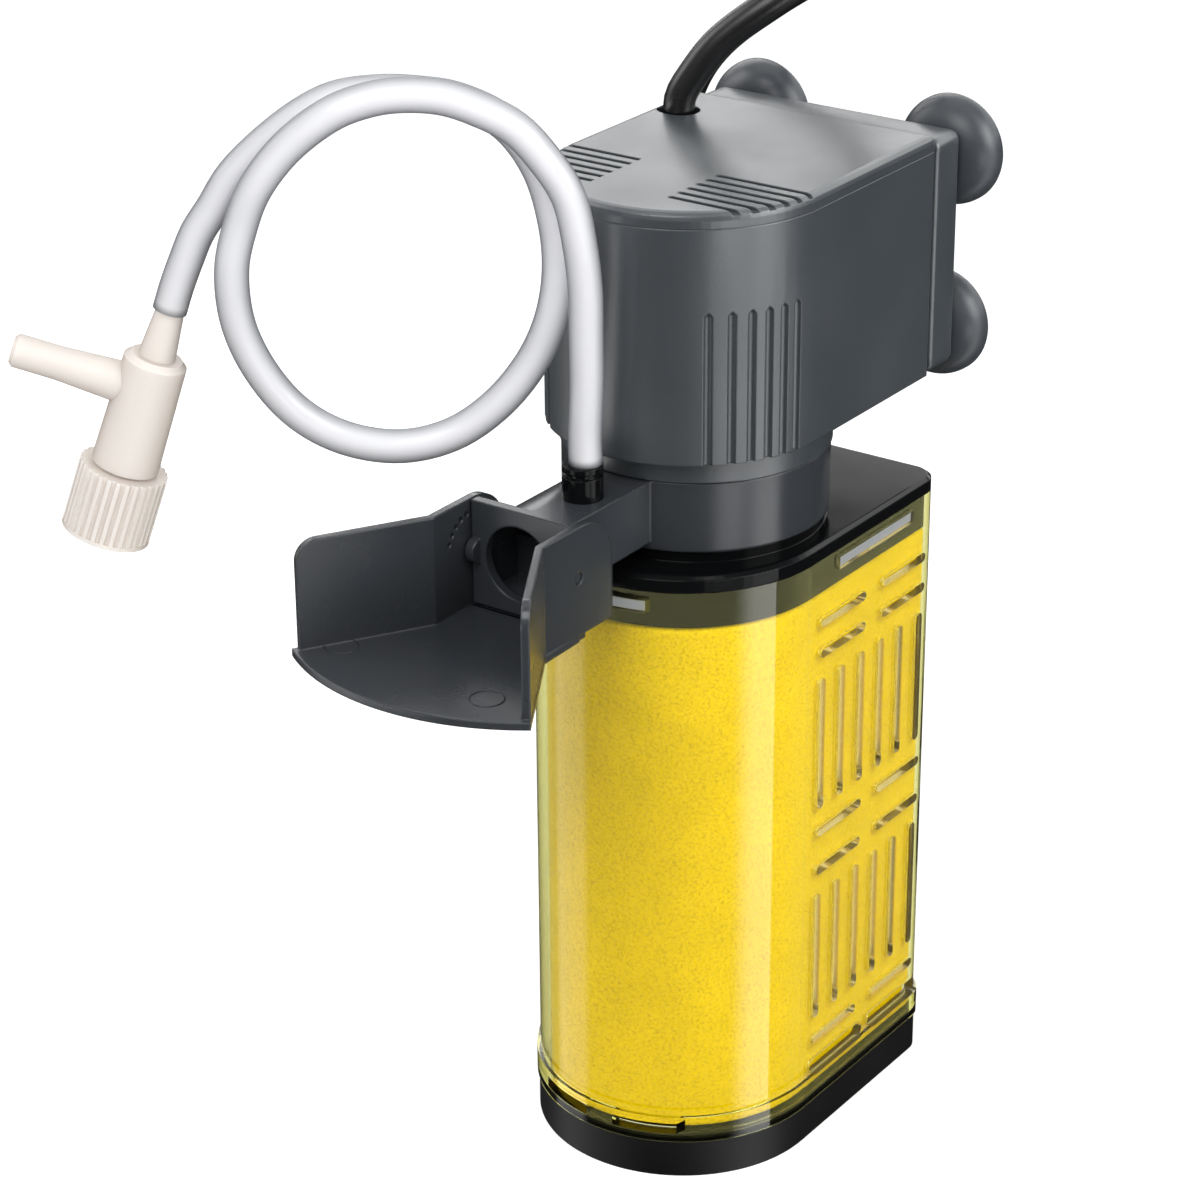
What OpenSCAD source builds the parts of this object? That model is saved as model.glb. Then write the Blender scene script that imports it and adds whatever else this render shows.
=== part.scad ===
// Internal aquarium power filter: a magnetic-drive pump head on a clear canister with a sponge,
// an outlet that swivels under the pump, a tilting flow deflector, and an air hose with a valve.
// Millimetres. The origin is on the impeller axis, on the underside of the base. +Z is up, the
// outlet points to -Y and the suction cups to +Y.

/* [Canister] */
// Half the width of the clear canister
can_hw = 27.8; // [26.8:0.2:31]
// How far the centre of the round front lies ahead of the impeller axis
can_front = 3.8; // [2:0.2:6]
// How far the flat rear wall lies behind the impeller axis
can_rear = 39.4; // [37:0.2:44]
// Radius of the two rear corners
can_corner = 5; // [4:0.5:7]
// Wall of the clear canister
can_wall = 1.8; // [1.4:0.1:2.2]
// Height of the clear canister
can_h = 114.4; // [106:0.2:130]
// Height of the thicker foot band of the canister
foot_h = 5.5; // [4:0.5:7]
// How far the foot band stands out
foot_out = 0.7; // [0.4:0.1:1]

/* [Intake slots] */
// Width of a slot
slot_w = 1.9; // [1.5:0.1:2.4]
// Height of an upright slot
slot_h = 27; // [22:0.5:30]
// Spacing of the upright slots
slot_pitch = 6.45; // [5.6:0.05:6.6]
// Number of upright slots in a tier
slot_count = 6; // [3:1:6]
// Length of a level slot
bar_len = 14.5; // [11:0.5:16]

/* [Base and lid] */
// Height of the base cap
base_h = 7.8; // [6.5:0.1:11]
// How far the base cap's side stands in from the canister's
base_inset = 0.6; // [0.4:0.1:1]
// Wall and floor of the base cap
base_wall = 2.2; // [1.6:0.1:3]
// Height of the lid's rim above the canister
lid_h = 4.1; // [3.5:0.1:6]
// Depth of the lid's skirt inside the canister
skirt_h = 7.3; // [6.5:0.1:9]
// Wall of the lid's skirt
skirt_wall = 1.8; // [1.4:0.1:2.2]
// Height of the round land that the outlet turns on
land_h = 1; // [0.6:0.1:1.6]
// Radius of the spigot that the outlet turns on
spigot_r = 10; // [9.4:0.1:11]

/* [Outlet] */
// Outer radius of the outlet collar
collar_r = 24.7; // [24:0.1:25.2]
// Height of the outlet collar
collar_h = 13.2; // [12.6:0.1:16]
// Wall of the collar and the duct
duct_wall = 1.8; // [1.4:0.1:2.2]
// Outer width of the duct
duct_w = 21.1; // [20:0.1:23]
// How far the duct's middle lies to the left of the impeller axis
duct_left = 4.35; // [3.5:0.05:5]
// How far the port's face lies ahead of the impeller axis
duct_reach = 48.6; // [46:0.1:52]
// Radius of the outlet port
port_r = 7; // [6:0.1:7.4]

/* [Deflector] */
// Thickness of the deflector's walls and floor
defl_wall = 1.5; // [1.2:0.1:1.8]
// How far each wall flares outward, in degrees
flare = 30.5; // [20:0.5:34]
// Length of a flared wall
flare_len = 25; // [18:0.5:28]
// Radius of the two pivot pins
pivot_r = 1.15; // [0.9:0.05:1.4]
// Angle between two detents, in degrees
detent_step = 14; // [12:0.5:15]

/* [Pump head] */
// Half the width of the motor housing
head_hw = 26.4; // [26:0.1:28]
// How far the centre of the housing's round front lies ahead of the impeller axis
head_front = 2.1; // [1:0.1:4]
// How far the housing's rear face lies behind the impeller axis
head_rear = 38.4; // [38:0.1:42]
// Wall of the motor housing
head_wall = 2.2; // [1.8:0.1:2.4]
// Height of the motor housing
head_h = 43.4; // [42.8:0.2:50]
// Thickness of the top cover
cover_h = 3; // [2.4:0.1:4]
// Height of the neck ring under the housing
neck_h = 4.5; // [3.5:0.1:7]
// Outer radius of the neck ring
neck_r = 25; // [24.8:0.1:26]
// Depth of the back plate, front to rear
plate_d = 6.45; // [5.6:0.05:8]

/* [Suction cups] */
// Radius of a suction cup at its rim
cup_r = 10.8; // [9:0.1:12]
// Depth of a suction cup from the plate to its rim
cup_d = 10.4; // [9:0.1:12]
// How far each cup stands to the side of the middle
cup_x = 21; // [19:0.5:21]
// How far the upper cups lie below the top of the cover
cup_drop = 7.3; // [6.4:0.1:9]
// How far the lower cups lie above the foot of the back plate
cup_lift = 4.4; // [4.3:0.1:7]

/* [Motor] */
// Radius of the ceramic shaft
shaft_r = 1.25; // [1:0.05:1.5]
// Radius of the rotor magnet
magnet_r = 7.7; // [6.8:0.1:8.2]
// Length of the rotor magnet
magnet_h = 26; // [22:0.5:26]
// Radius of the impeller blades
blade_r = 14; // [11:0.5:15]
// Number of impeller blades
blade_count = 6; // [4:1:8]
// Thickness of the laminated core's stack
core_h = 16; // [12:0.5:17]

/* [Air line] */
// Outer radius of the air hose
hose_r = 3; // [2.6:0.1:3.1]
// Radius of the bore of the air nipple and the valve
air_bore_r = 1; // [0.7:0.1:1.2]
// Height of the air nipple's collar above the duct
nipple_h = 6.3; // [5:0.1:8]
// Radius of the air nipple's collar
nipple_r = 3.65; // [3.2:0.05:4]
// Radius of the valve's body
valve_r = 6; // [5.8:0.05:6.5]
// Radius of the valve's knob
knob_r = 7.9; // [7.5:0.05:9]
// Height of the valve's knob
knob_h = 13; // [11.5:0.5:15]

/* [Mains cord] */
// Radius of the mains cord
cord_r = 3; // [2.6:0.1:3]
// Spacing of neighbouring turns of the put-away cord
coil_pitch = 6.8; // [6.6:0.1:7.4]
// Turns in the put-away cord
coil_turns = 4.25; // [2.25:1:4.25]

/* [Hidden] */
$fn = 96;

// Clearances
fit_gap = 0.3;    // between fixed pieces that slip together, and beside what turns
run_gap = 0.05;   // radial, on a shaft or bearing
turn_gap = 0.2;   // under a face that turns
cut = 1;          // overshoot of a cut

// Heights, stacked from the floor up
can_top = base_h + can_h;
lid_top = can_top + lid_h;
land_top = lid_top + land_h;
collar_z = land_top + turn_gap;
collar_top = collar_z + collar_h;
neck_z = collar_top + turn_gap;
head_z = neck_z + neck_h;
head_top = head_z + head_h;
cover_top = head_top + cover_h;

// Sponge: it stands on the base's ribs and ends under the lid's skirt
band_h = 1.8;
rib_pitch = 10;
rib_top = base_h + band_h;
sponge_z = rib_top + fit_gap;
skirt_z = can_top - skirt_h;
sponge_top = skirt_z - fit_gap;
bead_h = 0.6;
bead_out = 0.3;

// Slots of the canister's flat sides
tier_low = base_h + 17.6;
tier_high = can_top - 24.4 - slot_h;
bar_step = 6.2;
bar_ends = [0, 20];
slot_start = 0.8;
window_h = 3.2;
window_len = 18;

// Clip windows of the canister's rim, and the lid's pads in them
rim_window_z = can_top - 4.2;
rim_window_h = 2.4;
rim_window_y = [5.5, 29.8];
rim_window_x = 9.2;
foot_window_x = [3, 15];

// Neck tube of the lid
tube_wall = 2;
tube_z = skirt_z + 2.1;
grille_h = 2;
spigot_z = tube_z + grille_h + 0.6;
spigot_bore = spigot_r - 2.5;

// Seals
seal_r = 0.65;
groove_w = 1.6;

// Collar, chamber and duct
cavity_r = collar_r - 2;
floor_z = collar_z + 2;
volute_r = 16.2;
volute_wall = 1.4;
plate_z = floor_z + 6.8;
duct_right = duct_w / 2 - duct_left;
duct_far = -duct_w / 2 - duct_left;
duct_top = collar_top;
duct_rear_z = collar_z + 1.3;
box_start = 35.7;
roof_r = 12;
port_plate = 2;
port_x = -duct_left - 0.6;
spider_r = 4.6;
bush_r = 3.1;

// Pivot of the deflector
pivot_y = -duct_reach + 0.2;
pivot_z = duct_top - 9.4;
defl_below = 10.8;
box_z = pivot_z - defl_below + 0.5;
lug_r = 2.4;
detent_r = 7;
detent_at = 94;
detent_holes = 6;
dimple_r = 0.5;
ear_left = duct_far - fit_gap - defl_wall;
ear_right = duct_right + fit_gap;
ear_rear = -box_start - 2.8;
ear_bend = pivot_y - 10.4;
ear_z = pivot_z - defl_below - 0.2;
ear_top = duct_top + 0.1;
ear_round = 8.5;
floor_t = 1.4;
floor_front_r = 44;
floor_reach = 30.2;
floor_front = ear_bend - floor_reach;

// Neck ring
neck_spigot_r = cavity_r - fit_gap;
neck_bore = 19.4;
chamber_plate = 2;

// Rotor well of the housing
housing_floor = 3;
well_r = magnet_r + 0.5;
well_wall = 1.2;
magnet_z = head_z + 3.6;
well_top = magnet_z + magnet_h + 1;
socket_h = 2.8;
well_end = well_top + socket_h + 1.2;
shaft_z = collar_z + 0.4;
blade_z = floor_z + 1.3;
blade_h = 4.5;
disc_h = 1;
hub_r = 4.6;
stem_r = 2.8;

// Stator and resin
core_z = magnet_z + (magnet_h - core_h) / 2 + 1;
pole_r = well_r + well_wall + fit_gap;
core_hw = pole_r + 7.3;
core_front = -pole_r - 2.8;
yoke_y = [pole_r + 12.3, pole_r + 20.3];
window_hw = 10.5;
slit = 1.5;
bobbin_t = 1;
bobbin_y = [yoke_y[0] - 6, yoke_y[1] + 5.5];
bobbin_side = 4.4;
resin_z = core_z + core_h + 5.3;
resin_top = head_top - 4.8;

// Cord gland, in the cover's oval hole
cord_inset = 5.5;
cord_x = -head_hw + cord_inset;
cord_y = 25.4;
hole_x = cord_x - 0.4;
hole_y = cord_y + 0.2;
hole_hw = 4.2;
hole_hl = 3.5;
gland_top = cover_top - 1;

// Back plate
plate_front = head_rear + 0.25;
plate_rear = plate_front + plate_d;
skin = 2;
tray_wall = 1.2;
plate_round = 3;
stem_hole_r = 2.5;
cup_stem_r = 2.4;
stem_head_r = 3;
cup_z = [cover_top - cup_drop, head_z + cup_lift];

// Grooves
rib_groove_r = 0.8;
rib_groove_pitch = 3;
rib_groove_y = -22.2;
rib_groove_h = 27.6;
rib_count = 6;
top_groove_w = 1.2;
top_groove_d = 0.8;
top_groove_pitch = 2.92;
top_groove_y = -18.5;
top_groove_right = 6.75;
top_groove_left = -9.75;

// Air nipple, and the frame in which the hose and its valve lie
nipple_x = 0.5;
nipple_y = -36.5;
nipple_top = duct_top + nipple_h;
nipple_stem_r = 2;
nipple_reach = 9.5;
hose_turn = 35.2;
hose_right = [cos(hose_turn), sin(hose_turn), 0];
hose_back = [-sin(hose_turn), cos(hose_turn), 0];

// The air hose, from the nipple to the valve: [to the right, to the back, up]
hose_route = [
    [0.5, 0, 0], [0.5, 0, 5.5], [1, -0.5, 15], [1, -1, 24], [1, -1.5, 32.5], [0.5, -2, 41],
    [-1, -2, 49.5], [-5, -2, 56.5], [-10, -2, 62.5], [-16.5, -2, 65.5], [-23, -2, 67],
    [-30, -2, 67], [-36, -2, 66], [-42, -2, 63.5], [-49, -1.5, 58], [-54.5, -1, 51],
    [-57.5, 0, 44], [-59.5, 0.5, 35.5], [-59, 1.5, 25.5], [-55.5, 2.5, 16], [-49.5, 3.5, 8],
    [-41.5, 4.5, 3], [-32, 5, 1], [-22.5, 5.5, 2.5], [-14, 5.5, 7.5], [-7.5, 5.5, 15.5],
    [-4.5, 5, 24.5], [-4, 5, 33.5], [-5, 5, 42.5], [-8, 5, 51.5], [-13.5, 5, 58.5],
    [-20.5, 5, 63], [-27.5, 5, 65], [-34, 5, 65.5], [-41, 5, 64.5], [-47, 5, 61.5],
    [-53.5, 5, 56.5], [-59, 5, 51], [-62.5, 5, 45.5], [-65.5, 5, 41], [-67.5, 5, 36.5],
    [-69.5, 5, 31.5], [-71, 5, 27]
];

// Air valve: heights run along its own axis from the shoulder of its body
valve_at = [-73.7, 5, 18.6];
valve_tilt = 18.5;
valve_tip = 17.7;
valve_draft = 0.4;
valve_len = 21.3;
side_z = -6.6;
side_reach = 24.2;
side_r = 3;
side_straight = 7.5;
side_root_r = 4;
valve_neck_r = 4.6;
valve_neck_h = 9;
valve_bore_r = 2.6;
valve_bore_h = 22.5;
knob_gap = 0.5;
knob_end = 1.8;
knob_flutes = 30;
flute_r = 0.45;
needle_r = 1.6;

// The mains cord's free stretch, from the gland up and over to the floor behind
cord_floor = cord_r + 0.1;
coil_front = 67.5;
cord_route = [
    [cord_x, cord_y, gland_top], [cord_x, cord_y, gland_top + 3],
    [cord_x + 1.4, cord_y + 1.1, gland_top + 6.7], [cord_x + 6.2, cord_y + 4.3, gland_top + 14.2],
    [-6.4, 35.6, 212.5], [0.5, 44, 218], [2, 56, 220.5], [-2, coil_front, 219], [-10.5, 76, 214.5],
    [-21.5, 79, 207.5], [-31.5, 75.5, 200], [-40.5, 69.5, 191.5],
    [-45, 66, 183], [-47, 64.5, 172], [-46, 63.5, 160], [-43.5, 63, 147], [-39.5, 63, 132],
    [-35, 63, 116], [-30.5, 63, 98], [-26, 63, 78], [-23, 63, 58], [-21.5, 63.5, 42],
    [-21.5, 64, 29], [-24, 65, 18], [-30, 66, 9.5], [-38.5, 67, 4.5],
    [-48, coil_front, cord_floor], [-54, coil_front, cord_floor]
];

// The rest of the cord, put away as a flat coil in two layers on the floor
coil_centre = [-60, 104];
coil_rings = 24;
coil_outer = coil_centre[1] - coil_front;
coil_angle = 360 * coil_turns;
coil_layer = 2 * cord_r + 0.8;

// Plug
plug_l = 35.3;
plug_w = 26;
plug_t = 13.7;
boot_l = 14;
boot_r = 4.6;
pin_r = 2;
pin_l = 19;
pin_pitch = 18.6;
pin_root = 6;
plug_z = plug_t / 2;
tail_z = plug_z;
coil_exit = [coil_centre[0] - coil_outer, coil_centre[1]];
coil_tail = 35;
plug_y = coil_exit[1] + coil_tail;

// Colours
CHARCOAL = [0.23, 0.24, 0.26];
BLACK = [0.07, 0.07, 0.08];
CLEAR = [0.9, 0.92, 0.92, 0.35];
YELLOW = [0.97, 0.82, 0.05];
RUBBER = [0.36, 0.37, 0.39];
STEEL = [0.62, 0.63, 0.65];
COPPER = [0.72, 0.42, 0.2];
FROST = [0.96, 0.93, 0.9, 0.8];
HOSE = [0.9, 0.9, 0.9, 0.6];

// ---------------------------------------------------------------- outlines

// A D: round to the front, flat to the rear with round corners
module d_shape(hw, front, rear, corner) {
    translate([0, -front]) circle(r = hw);
    translate([-hw, -front]) square([2 * hw, rear + front - corner]);
    translate([-hw + corner, rear - 2 * corner]) square([2 * (hw - corner), 2 * corner]);
    for (side = [-1, 1])
        translate([side * (hw - corner), rear - corner]) circle(r = corner);
}

// The canister's outline, drawn in by inset
module can_shape(inset) {
    d_shape(can_hw - inset, can_front, can_rear - inset, max(can_corner - inset, 0.6));
}

module can_slab(z, h, inset) {
    translate([0, 0, z]) linear_extrude(h) can_shape(inset);
}

// The motor housing's outline, drawn in by inset
module head_shape(inset) {
    d_shape(head_hw - inset, head_front, head_rear - inset, 0.8);
}

module head_slab(z, h, inset) {
    translate([0, 0, z]) linear_extrude(h) head_shape(inset);
}

// An O-ring of a given mean radius
module seal_ring(major, z) {
    translate([0, 0, z]) rotate_extrude() translate([major, 0]) circle(r = seal_r, $fn = 32);
}

// A cut with round ends through both flat sides of the canister
module side_slot(y, z, len_y, len_z) {
    r = min(len_y, len_z) / 2;
    flat_y = len_y - 2 * r;
    flat_z = len_z - 2 * r;
    span = 2 * (can_hw + cut);
    for (end = [0, 1])
        translate([-span / 2, y + r + end * flat_y, z + r + end * flat_z])
            rotate([0, 90, 0]) cylinder(r = r, h = span, $fn = 24);
    translate([-span / 2, y + (flat_y > 0 ? r : 0), z + (flat_z > 0 ? r : 0)])
        cube([span, flat_y > 0 ? flat_y : len_y, flat_z > 0 ? flat_z : len_z]);
}

// ---------------------------------------------------------------- sweeps

function unit(v) = v / norm(v);

function tangents(p) = [for (i = [0:len(p) - 1]) unit(p[min(i + 1, len(p) - 1)] - p[max(i - 1, 0)])];

function square_to(v, t) = unit(v - (v * t) * t);

// One vector square to the path at each point, carried along without twist
function carried(t, start) = [
    for (i = 0, v = square_to(start, t[0]); i < len(t);
            i = i + 1, v = i < len(t) ? square_to(v, t[i]) : v)
        v
];

// A solid round tube along a path
module tube(path, r, sides, start) {
    n = len(path);
    t = tangents(path);
    v = carried(t, start);
    points = [
        for (i = [0:n - 1], k = [0:sides - 1])
            path[i] + r * (cos(360 * k / sides) * v[i] + sin(360 * k / sides) * cross(t[i], v[i]))
    ];
    last = (n - 1) * sides;
    walls = [
        for (i = [0:n - 2], k = [0:sides - 1], half = [0, 1])
            let (a = i * sides + k, b = i * sides + (k + 1) % sides)
            half == 0 ? [a, a + sides, b + sides] : [a, b + sides, b]
    ];
    first_cap = [for (k = [1:sides - 2]) [0, k, k + 1]];
    last_cap = [for (k = [1:sides - 2]) [last, last + k + 1, last + k]];
    polyhedron(points = points, faces = concat(walls, first_cap, last_cap));
}

// ---------------------------------------------------------------- canister side

module base_cap() {
    spigot_in = can_wall + fit_gap;
    color(BLACK) {
        difference() {
            union() {
                can_slab(0, base_h, base_inset);
                can_slab(base_h - cut, cut + band_h, spigot_in);
                can_slab(base_h + 0.7, bead_h, spigot_in - bead_out);
            }
            can_slab(base_wall, base_h + band_h, spigot_in + base_wall);
        }
        // Ribs that hold the sponge off the floor, crossed by one long rib
        intersection() {
            can_slab(base_wall - 0.1, rib_top - base_wall + 0.1, spigot_in + base_wall / 2);
            union() {
                for (i = [-2:3])
                    translate([-can_hw, i * rib_pitch - 0.8, 0]) cube([2 * can_hw, 1.6, rib_top]);
                translate([-0.8, -can_hw - can_front, 0])
                    cube([1.6, can_hw + can_front + can_rear, rib_top]);
            }
        }
    }
}

module canister_shell() {
    color(CLEAR) difference() {
        union() {
            can_slab(base_h, can_h, 0);
            can_slab(base_h, foot_h, -foot_out);
        }
        can_slab(base_h - cut, can_h + 2 * cut, can_wall);
        // Groove for the base's bead
        can_slab(base_h + 0.5, bead_h + 0.4, can_wall - bead_out);
        intake_slots();
        rim_windows(0);
        // Windows low in the front, one each side of the middle
        for (side = [0, 1]) mirror([side, 0, 0])
            translate([foot_window_x[0], -can_front - can_hw - foot_out - cut, base_h + 1.9])
                cube([foot_window_x[1] - foot_window_x[0], can_hw, 2.2]);
    }
}

// Two tiers of upright slots with level slots above and below, and windows at the foot
module intake_slots() {
    for (tier = [tier_low, tier_high]) {
        for (i = [0:slot_count - 1])
            side_slot(slot_start - slot_w / 2 + i * slot_pitch, tier, slot_w, slot_h);
        for (y = bar_ends, z = [tier - bar_step + 0.3, tier + slot_h + bar_step - slot_w])
            side_slot(y, z, bar_len, slot_w);
    }
    for (y = bar_ends) {
        side_slot(y, tier_high + slot_h + 2 * bar_step - slot_w, bar_len, slot_w);
        side_slot(y - 1, tier_low - 2 * bar_step, window_len, window_h);
    }
}

// Windows for the lid's clips, in both sides and the front; the pads in them are smaller by gap
module rim_windows(gap) {
    span = 2 * (can_hw + cut);
    h = rim_window_h - 2 * gap;
    z = rim_window_z + gap;
    translate([-span / 2, rim_window_y[0] + gap, z])
        cube([span, rim_window_y[1] - rim_window_y[0] - 2 * gap, h]);
    translate([-rim_window_x + gap, -can_front - can_hw - cut, z])
        cube([2 * (rim_window_x - gap), can_hw, h]);
}

module sponge() {
    color(YELLOW) can_slab(sponge_z, sponge_top - sponge_z, can_wall + fit_gap);
}

module canister_lid() {
    skirt_in = can_wall + fit_gap;
    color(BLACK) {
        difference() {
            union() {
                lid_plate();
                translate([0, 0, lid_top - cut]) cylinder(r = collar_r - 0.7, h = cut + land_h);
                can_slab(skirt_z, skirt_h + cut, skirt_in);
                intersection() {
                    rim_windows(fit_gap);
                    can_slab(skirt_z, skirt_h, 0.4);
                }
            }
            difference() {
                can_slab(skirt_z - cut, skirt_h + cut, skirt_in + skirt_wall);
                translate([0, 0, tube_z]) cylinder(r = spigot_r + tube_wall, h = skirt_h + cut);
                lid_ribs();
            }
            translate([0, 0, tube_z + grille_h]) cylinder(r = spigot_r + run_gap, h = land_top);
            intake_mouth();
        }
    }
}

// The lid's rim, its top edge bevelled
module lid_plate() {
    bevel = 0.8;
    hull() {
        can_slab(can_top, lid_h - bevel, 0);
        can_slab(lid_top - 0.1, 0.1, bevel);
    }
}

// Ribs from the lid's neck tube to its skirt
module lid_ribs() {
    for (a = [30:60:330])
        rotate([0, 0, a]) translate([spigot_r, -0.7, tube_z + grille_h]) cube([can_rear, 1.4, skirt_h]);
}

// The lower mouth of the neck tube, crossed by bars
module intake_mouth() {
    difference() {
        translate([0, 0, tube_z - cut]) cylinder(r = spigot_r - 0.6, h = grille_h + 2 * cut);
        for (x = [-5, 0, 5])
            translate([x - 0.7, -spigot_r, tube_z - 2 * cut]) cube([1.4, 2 * spigot_r, grille_h + 4 * cut]);
        translate([-spigot_r, -0.7, tube_z - 2 * cut]) cube([2 * spigot_r, 1.4, grille_h + 4 * cut]);
    }
}

// ---------------------------------------------------------------- outlet

// Cross-section of the duct, seen from the front: its upper left is round
module duct_section(bottom, inset) {
    left = duct_far + inset;
    right = duct_right - inset;
    top = duct_top - inset;
    r = roof_r - inset;
    intersection() {
        translate([left, bottom + inset]) square([right - left, top - bottom - inset]);
        union() {
            translate([left + r, bottom - roof_r]) square([right - left - r, top - bottom + roof_r]);
            translate([left, bottom - roof_r]) square([2 * r, top - r - bottom + roof_r]);
            translate([left + r, top - r]) circle(r = r);
        }
    }
}

// The section run from one distance ahead of the axis to another
module duct_run(from, to, bottom, inset) {
    translate([0, -from, 0]) rotate([90, 0, 0]) linear_extrude(to - from) duct_section(bottom, inset);
}

module outlet_collar() {
    pin_len = fit_gap + defl_wall - 0.3;
    inner_w = duct_w - 2 * duct_wall;
    color(CHARCOAL) {
        difference() {
            union() {
                translate([0, 0, collar_z]) cylinder(r = collar_r, h = collar_h);
                duct_run(cavity_r - 8, duct_reach - port_plate, duct_rear_z, 0);
                duct_run(box_start, duct_reach - port_plate, box_z, 0);
                // Face plate of the port
                translate([duct_far, -duct_reach, box_z]) cube([duct_w, port_plate, duct_top - box_z]);
                // Pivot lugs
                for (x = [duct_far, duct_right - duct_wall])
                    translate([x, pivot_y, pivot_z]) rotate([0, 90, 0]) cylinder(r = lug_r, h = duct_wall);
                translate([0, 0, spigot_z]) cylinder(r = spigot_r, h = collar_z + cut - spigot_z);
            }
            // Impeller chamber
            translate([0, 0, floor_z]) cylinder(r = cavity_r, h = collar_h);
            // Water way: out of the chamber, down the duct and through the port
            duct_run(cavity_r - 12, duct_reach - port_plate, duct_rear_z, duct_wall);
            duct_run(box_start + duct_wall, duct_reach - port_plate, box_z, duct_wall);
            translate([port_x, -duct_reach - cut, pivot_z - 0.6])
                rotate([-90, 0, 0]) cylinder(r = port_r, h = port_plate + 2 * cut);
            // Intake through the spigot
            translate([0, 0, spigot_z - cut]) cylinder(r = spigot_bore, h = floor_z - spigot_z + 2 * cut);
            // Groove for the seal
            seal_groove(spigot_r, spigot_r - seal_r * 2 - 0.1, collar_seal_z());
            // Hole for the air nipple
            translate([nipple_x, nipple_y, duct_top - duct_wall - cut])
                cylinder(r = nipple_stem_r + 0.1 + run_gap, h = duct_wall + 2 * cut, $fn = 48);
        }
        volute();
        spider();
        // Pivot pins
        translate([duct_right - 0.1, pivot_y, pivot_z])
            rotate([0, 90, 0]) cylinder(r = pivot_r, h = pin_len + 0.1, $fn = 48);
        translate([duct_far - pin_len, pivot_y, pivot_z])
            rotate([0, 90, 0]) cylinder(r = pivot_r, h = pin_len + 0.1, $fn = 48);
        // Detent pip on the left side
        translate([duct_far - fit_gap + 0.05, 0, 0]) at_detent(0)
            rotate([0, 90, 0]) cylinder(r = dimple_r - 0.05, h = fit_gap, $fn = 24);
    }
}

function collar_seal_z() = spigot_z + 3.2;

// A groove round a spigot, down to an inner radius
module seal_groove(outer, inner, z) {
    translate([0, 0, z - groove_w / 2]) difference() {
        cylinder(r = outer + cut, h = groove_w);
        translate([0, 0, -cut]) cylinder(r = inner, h = groove_w + 2 * cut);
    }
}

// Low wall round the impeller, open towards the duct
module volute() {
    translate([0, 0, floor_z - 0.1]) difference() {
        cylinder(r = volute_r + volute_wall, h = plate_z - turn_gap - floor_z + 0.1);
        translate([0, 0, -cut]) cylinder(r = volute_r, h = collar_h);
        translate([duct_far + duct_wall, -volute_r - 2 * cut, 0.1])
            cube([duct_w - 2 * duct_wall, volute_r - 2, collar_h]);
    }
}

// Three arms and a ring in the intake, which steady the foot of the shaft
module spider() {
    translate([0, 0, collar_z]) difference() {
        union() {
            cylinder(r = spider_r, h = floor_z - collar_z);
            for (a = [90, 210, 330])
                rotate([0, 0, a]) translate([0, -0.8, 0])
                    cube([spigot_bore + 0.4, 1.6, floor_z - collar_z]);
        }
        translate([0, 0, -cut]) cylinder(r = bush_r + run_gap, h = floor_z - collar_z + 2 * cut);
    }
}

// Children moved to a detent's place beside the pivot
module at_detent(index) {
    a = detent_at - index * detent_step;
    translate([0, pivot_y - detent_r * cos(a), pivot_z + detent_r * sin(a)]) children();
}

module collar_seal() {
    color(BLACK) seal_ring(spigot_r - seal_r - run_gap, collar_seal_z());
}

module air_nipple() {
    rim = 1.1;
    color(BLACK) translate([nipple_x, nipple_y, 0]) difference() {
        union() {
            translate([0, 0, duct_top - duct_wall - 1])
                cylinder(r = nipple_stem_r + 0.1, h = duct_wall + 2, $fn = 48);
            translate([0, 0, duct_top]) cylinder(r = nipple_r, h = nipple_h, $fn = 48);
            translate([0, 0, nipple_top - cut])
                cylinder(r = nipple_stem_r, h = nipple_reach + cut - 1, $fn = 48);
            translate([0, 0, nipple_top + nipple_reach - 1])
                cylinder(r1 = nipple_stem_r, r2 = nipple_stem_r - 0.6, h = 1, $fn = 48);
        }
        // Waist under the collar's rim
        translate([0, 0, nipple_top - rim - 0.9]) difference() {
            cylinder(r = nipple_r + cut, h = 0.9, $fn = 48);
            translate([0, 0, -cut]) cylinder(r = nipple_r - 0.6, h = 0.9 + 2 * cut, $fn = 48);
        }
        cylinder(r = air_bore_r, h = cover_top, $fn = 48);
    }
}

// ---------------------------------------------------------------- deflector

// One ear: a plate beside the duct with its rear upper corner round
module ear(x) {
    h = ear_top - ear_z;
    d = ear_rear - ear_bend;
    translate([x, 0, 0]) rotate([90, 0, 90]) linear_extrude(defl_wall) {
        translate([ear_bend, ear_z]) square([d - ear_round, h]);
        translate([ear_bend, ear_z]) square([d, h - ear_round]);
        translate([ear_rear - ear_round, ear_top - ear_round]) circle(r = ear_round);
    }
}

// One flared wall, drawn on the left or mirrored to the right of its own bend
module flared_wall(x, side) {
    nose = 4;
    h = ear_top - ear_z;
    translate([x + defl_wall / 2, ear_bend, ear_z]) {
        cylinder(r = defl_wall / 2, h = h, $fn = 32);
        rotate([90, 0, 90 + side * flare]) translate([-flare_len, 0, -defl_wall / 2])
            linear_extrude(defl_wall) {
                translate([nose, 0]) square([flare_len - nose, h]);
                square([flare_len, h - nose]);
                translate([nose, h - nose]) circle(r = nose, $fn = 48);
            }
    }
}

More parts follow.
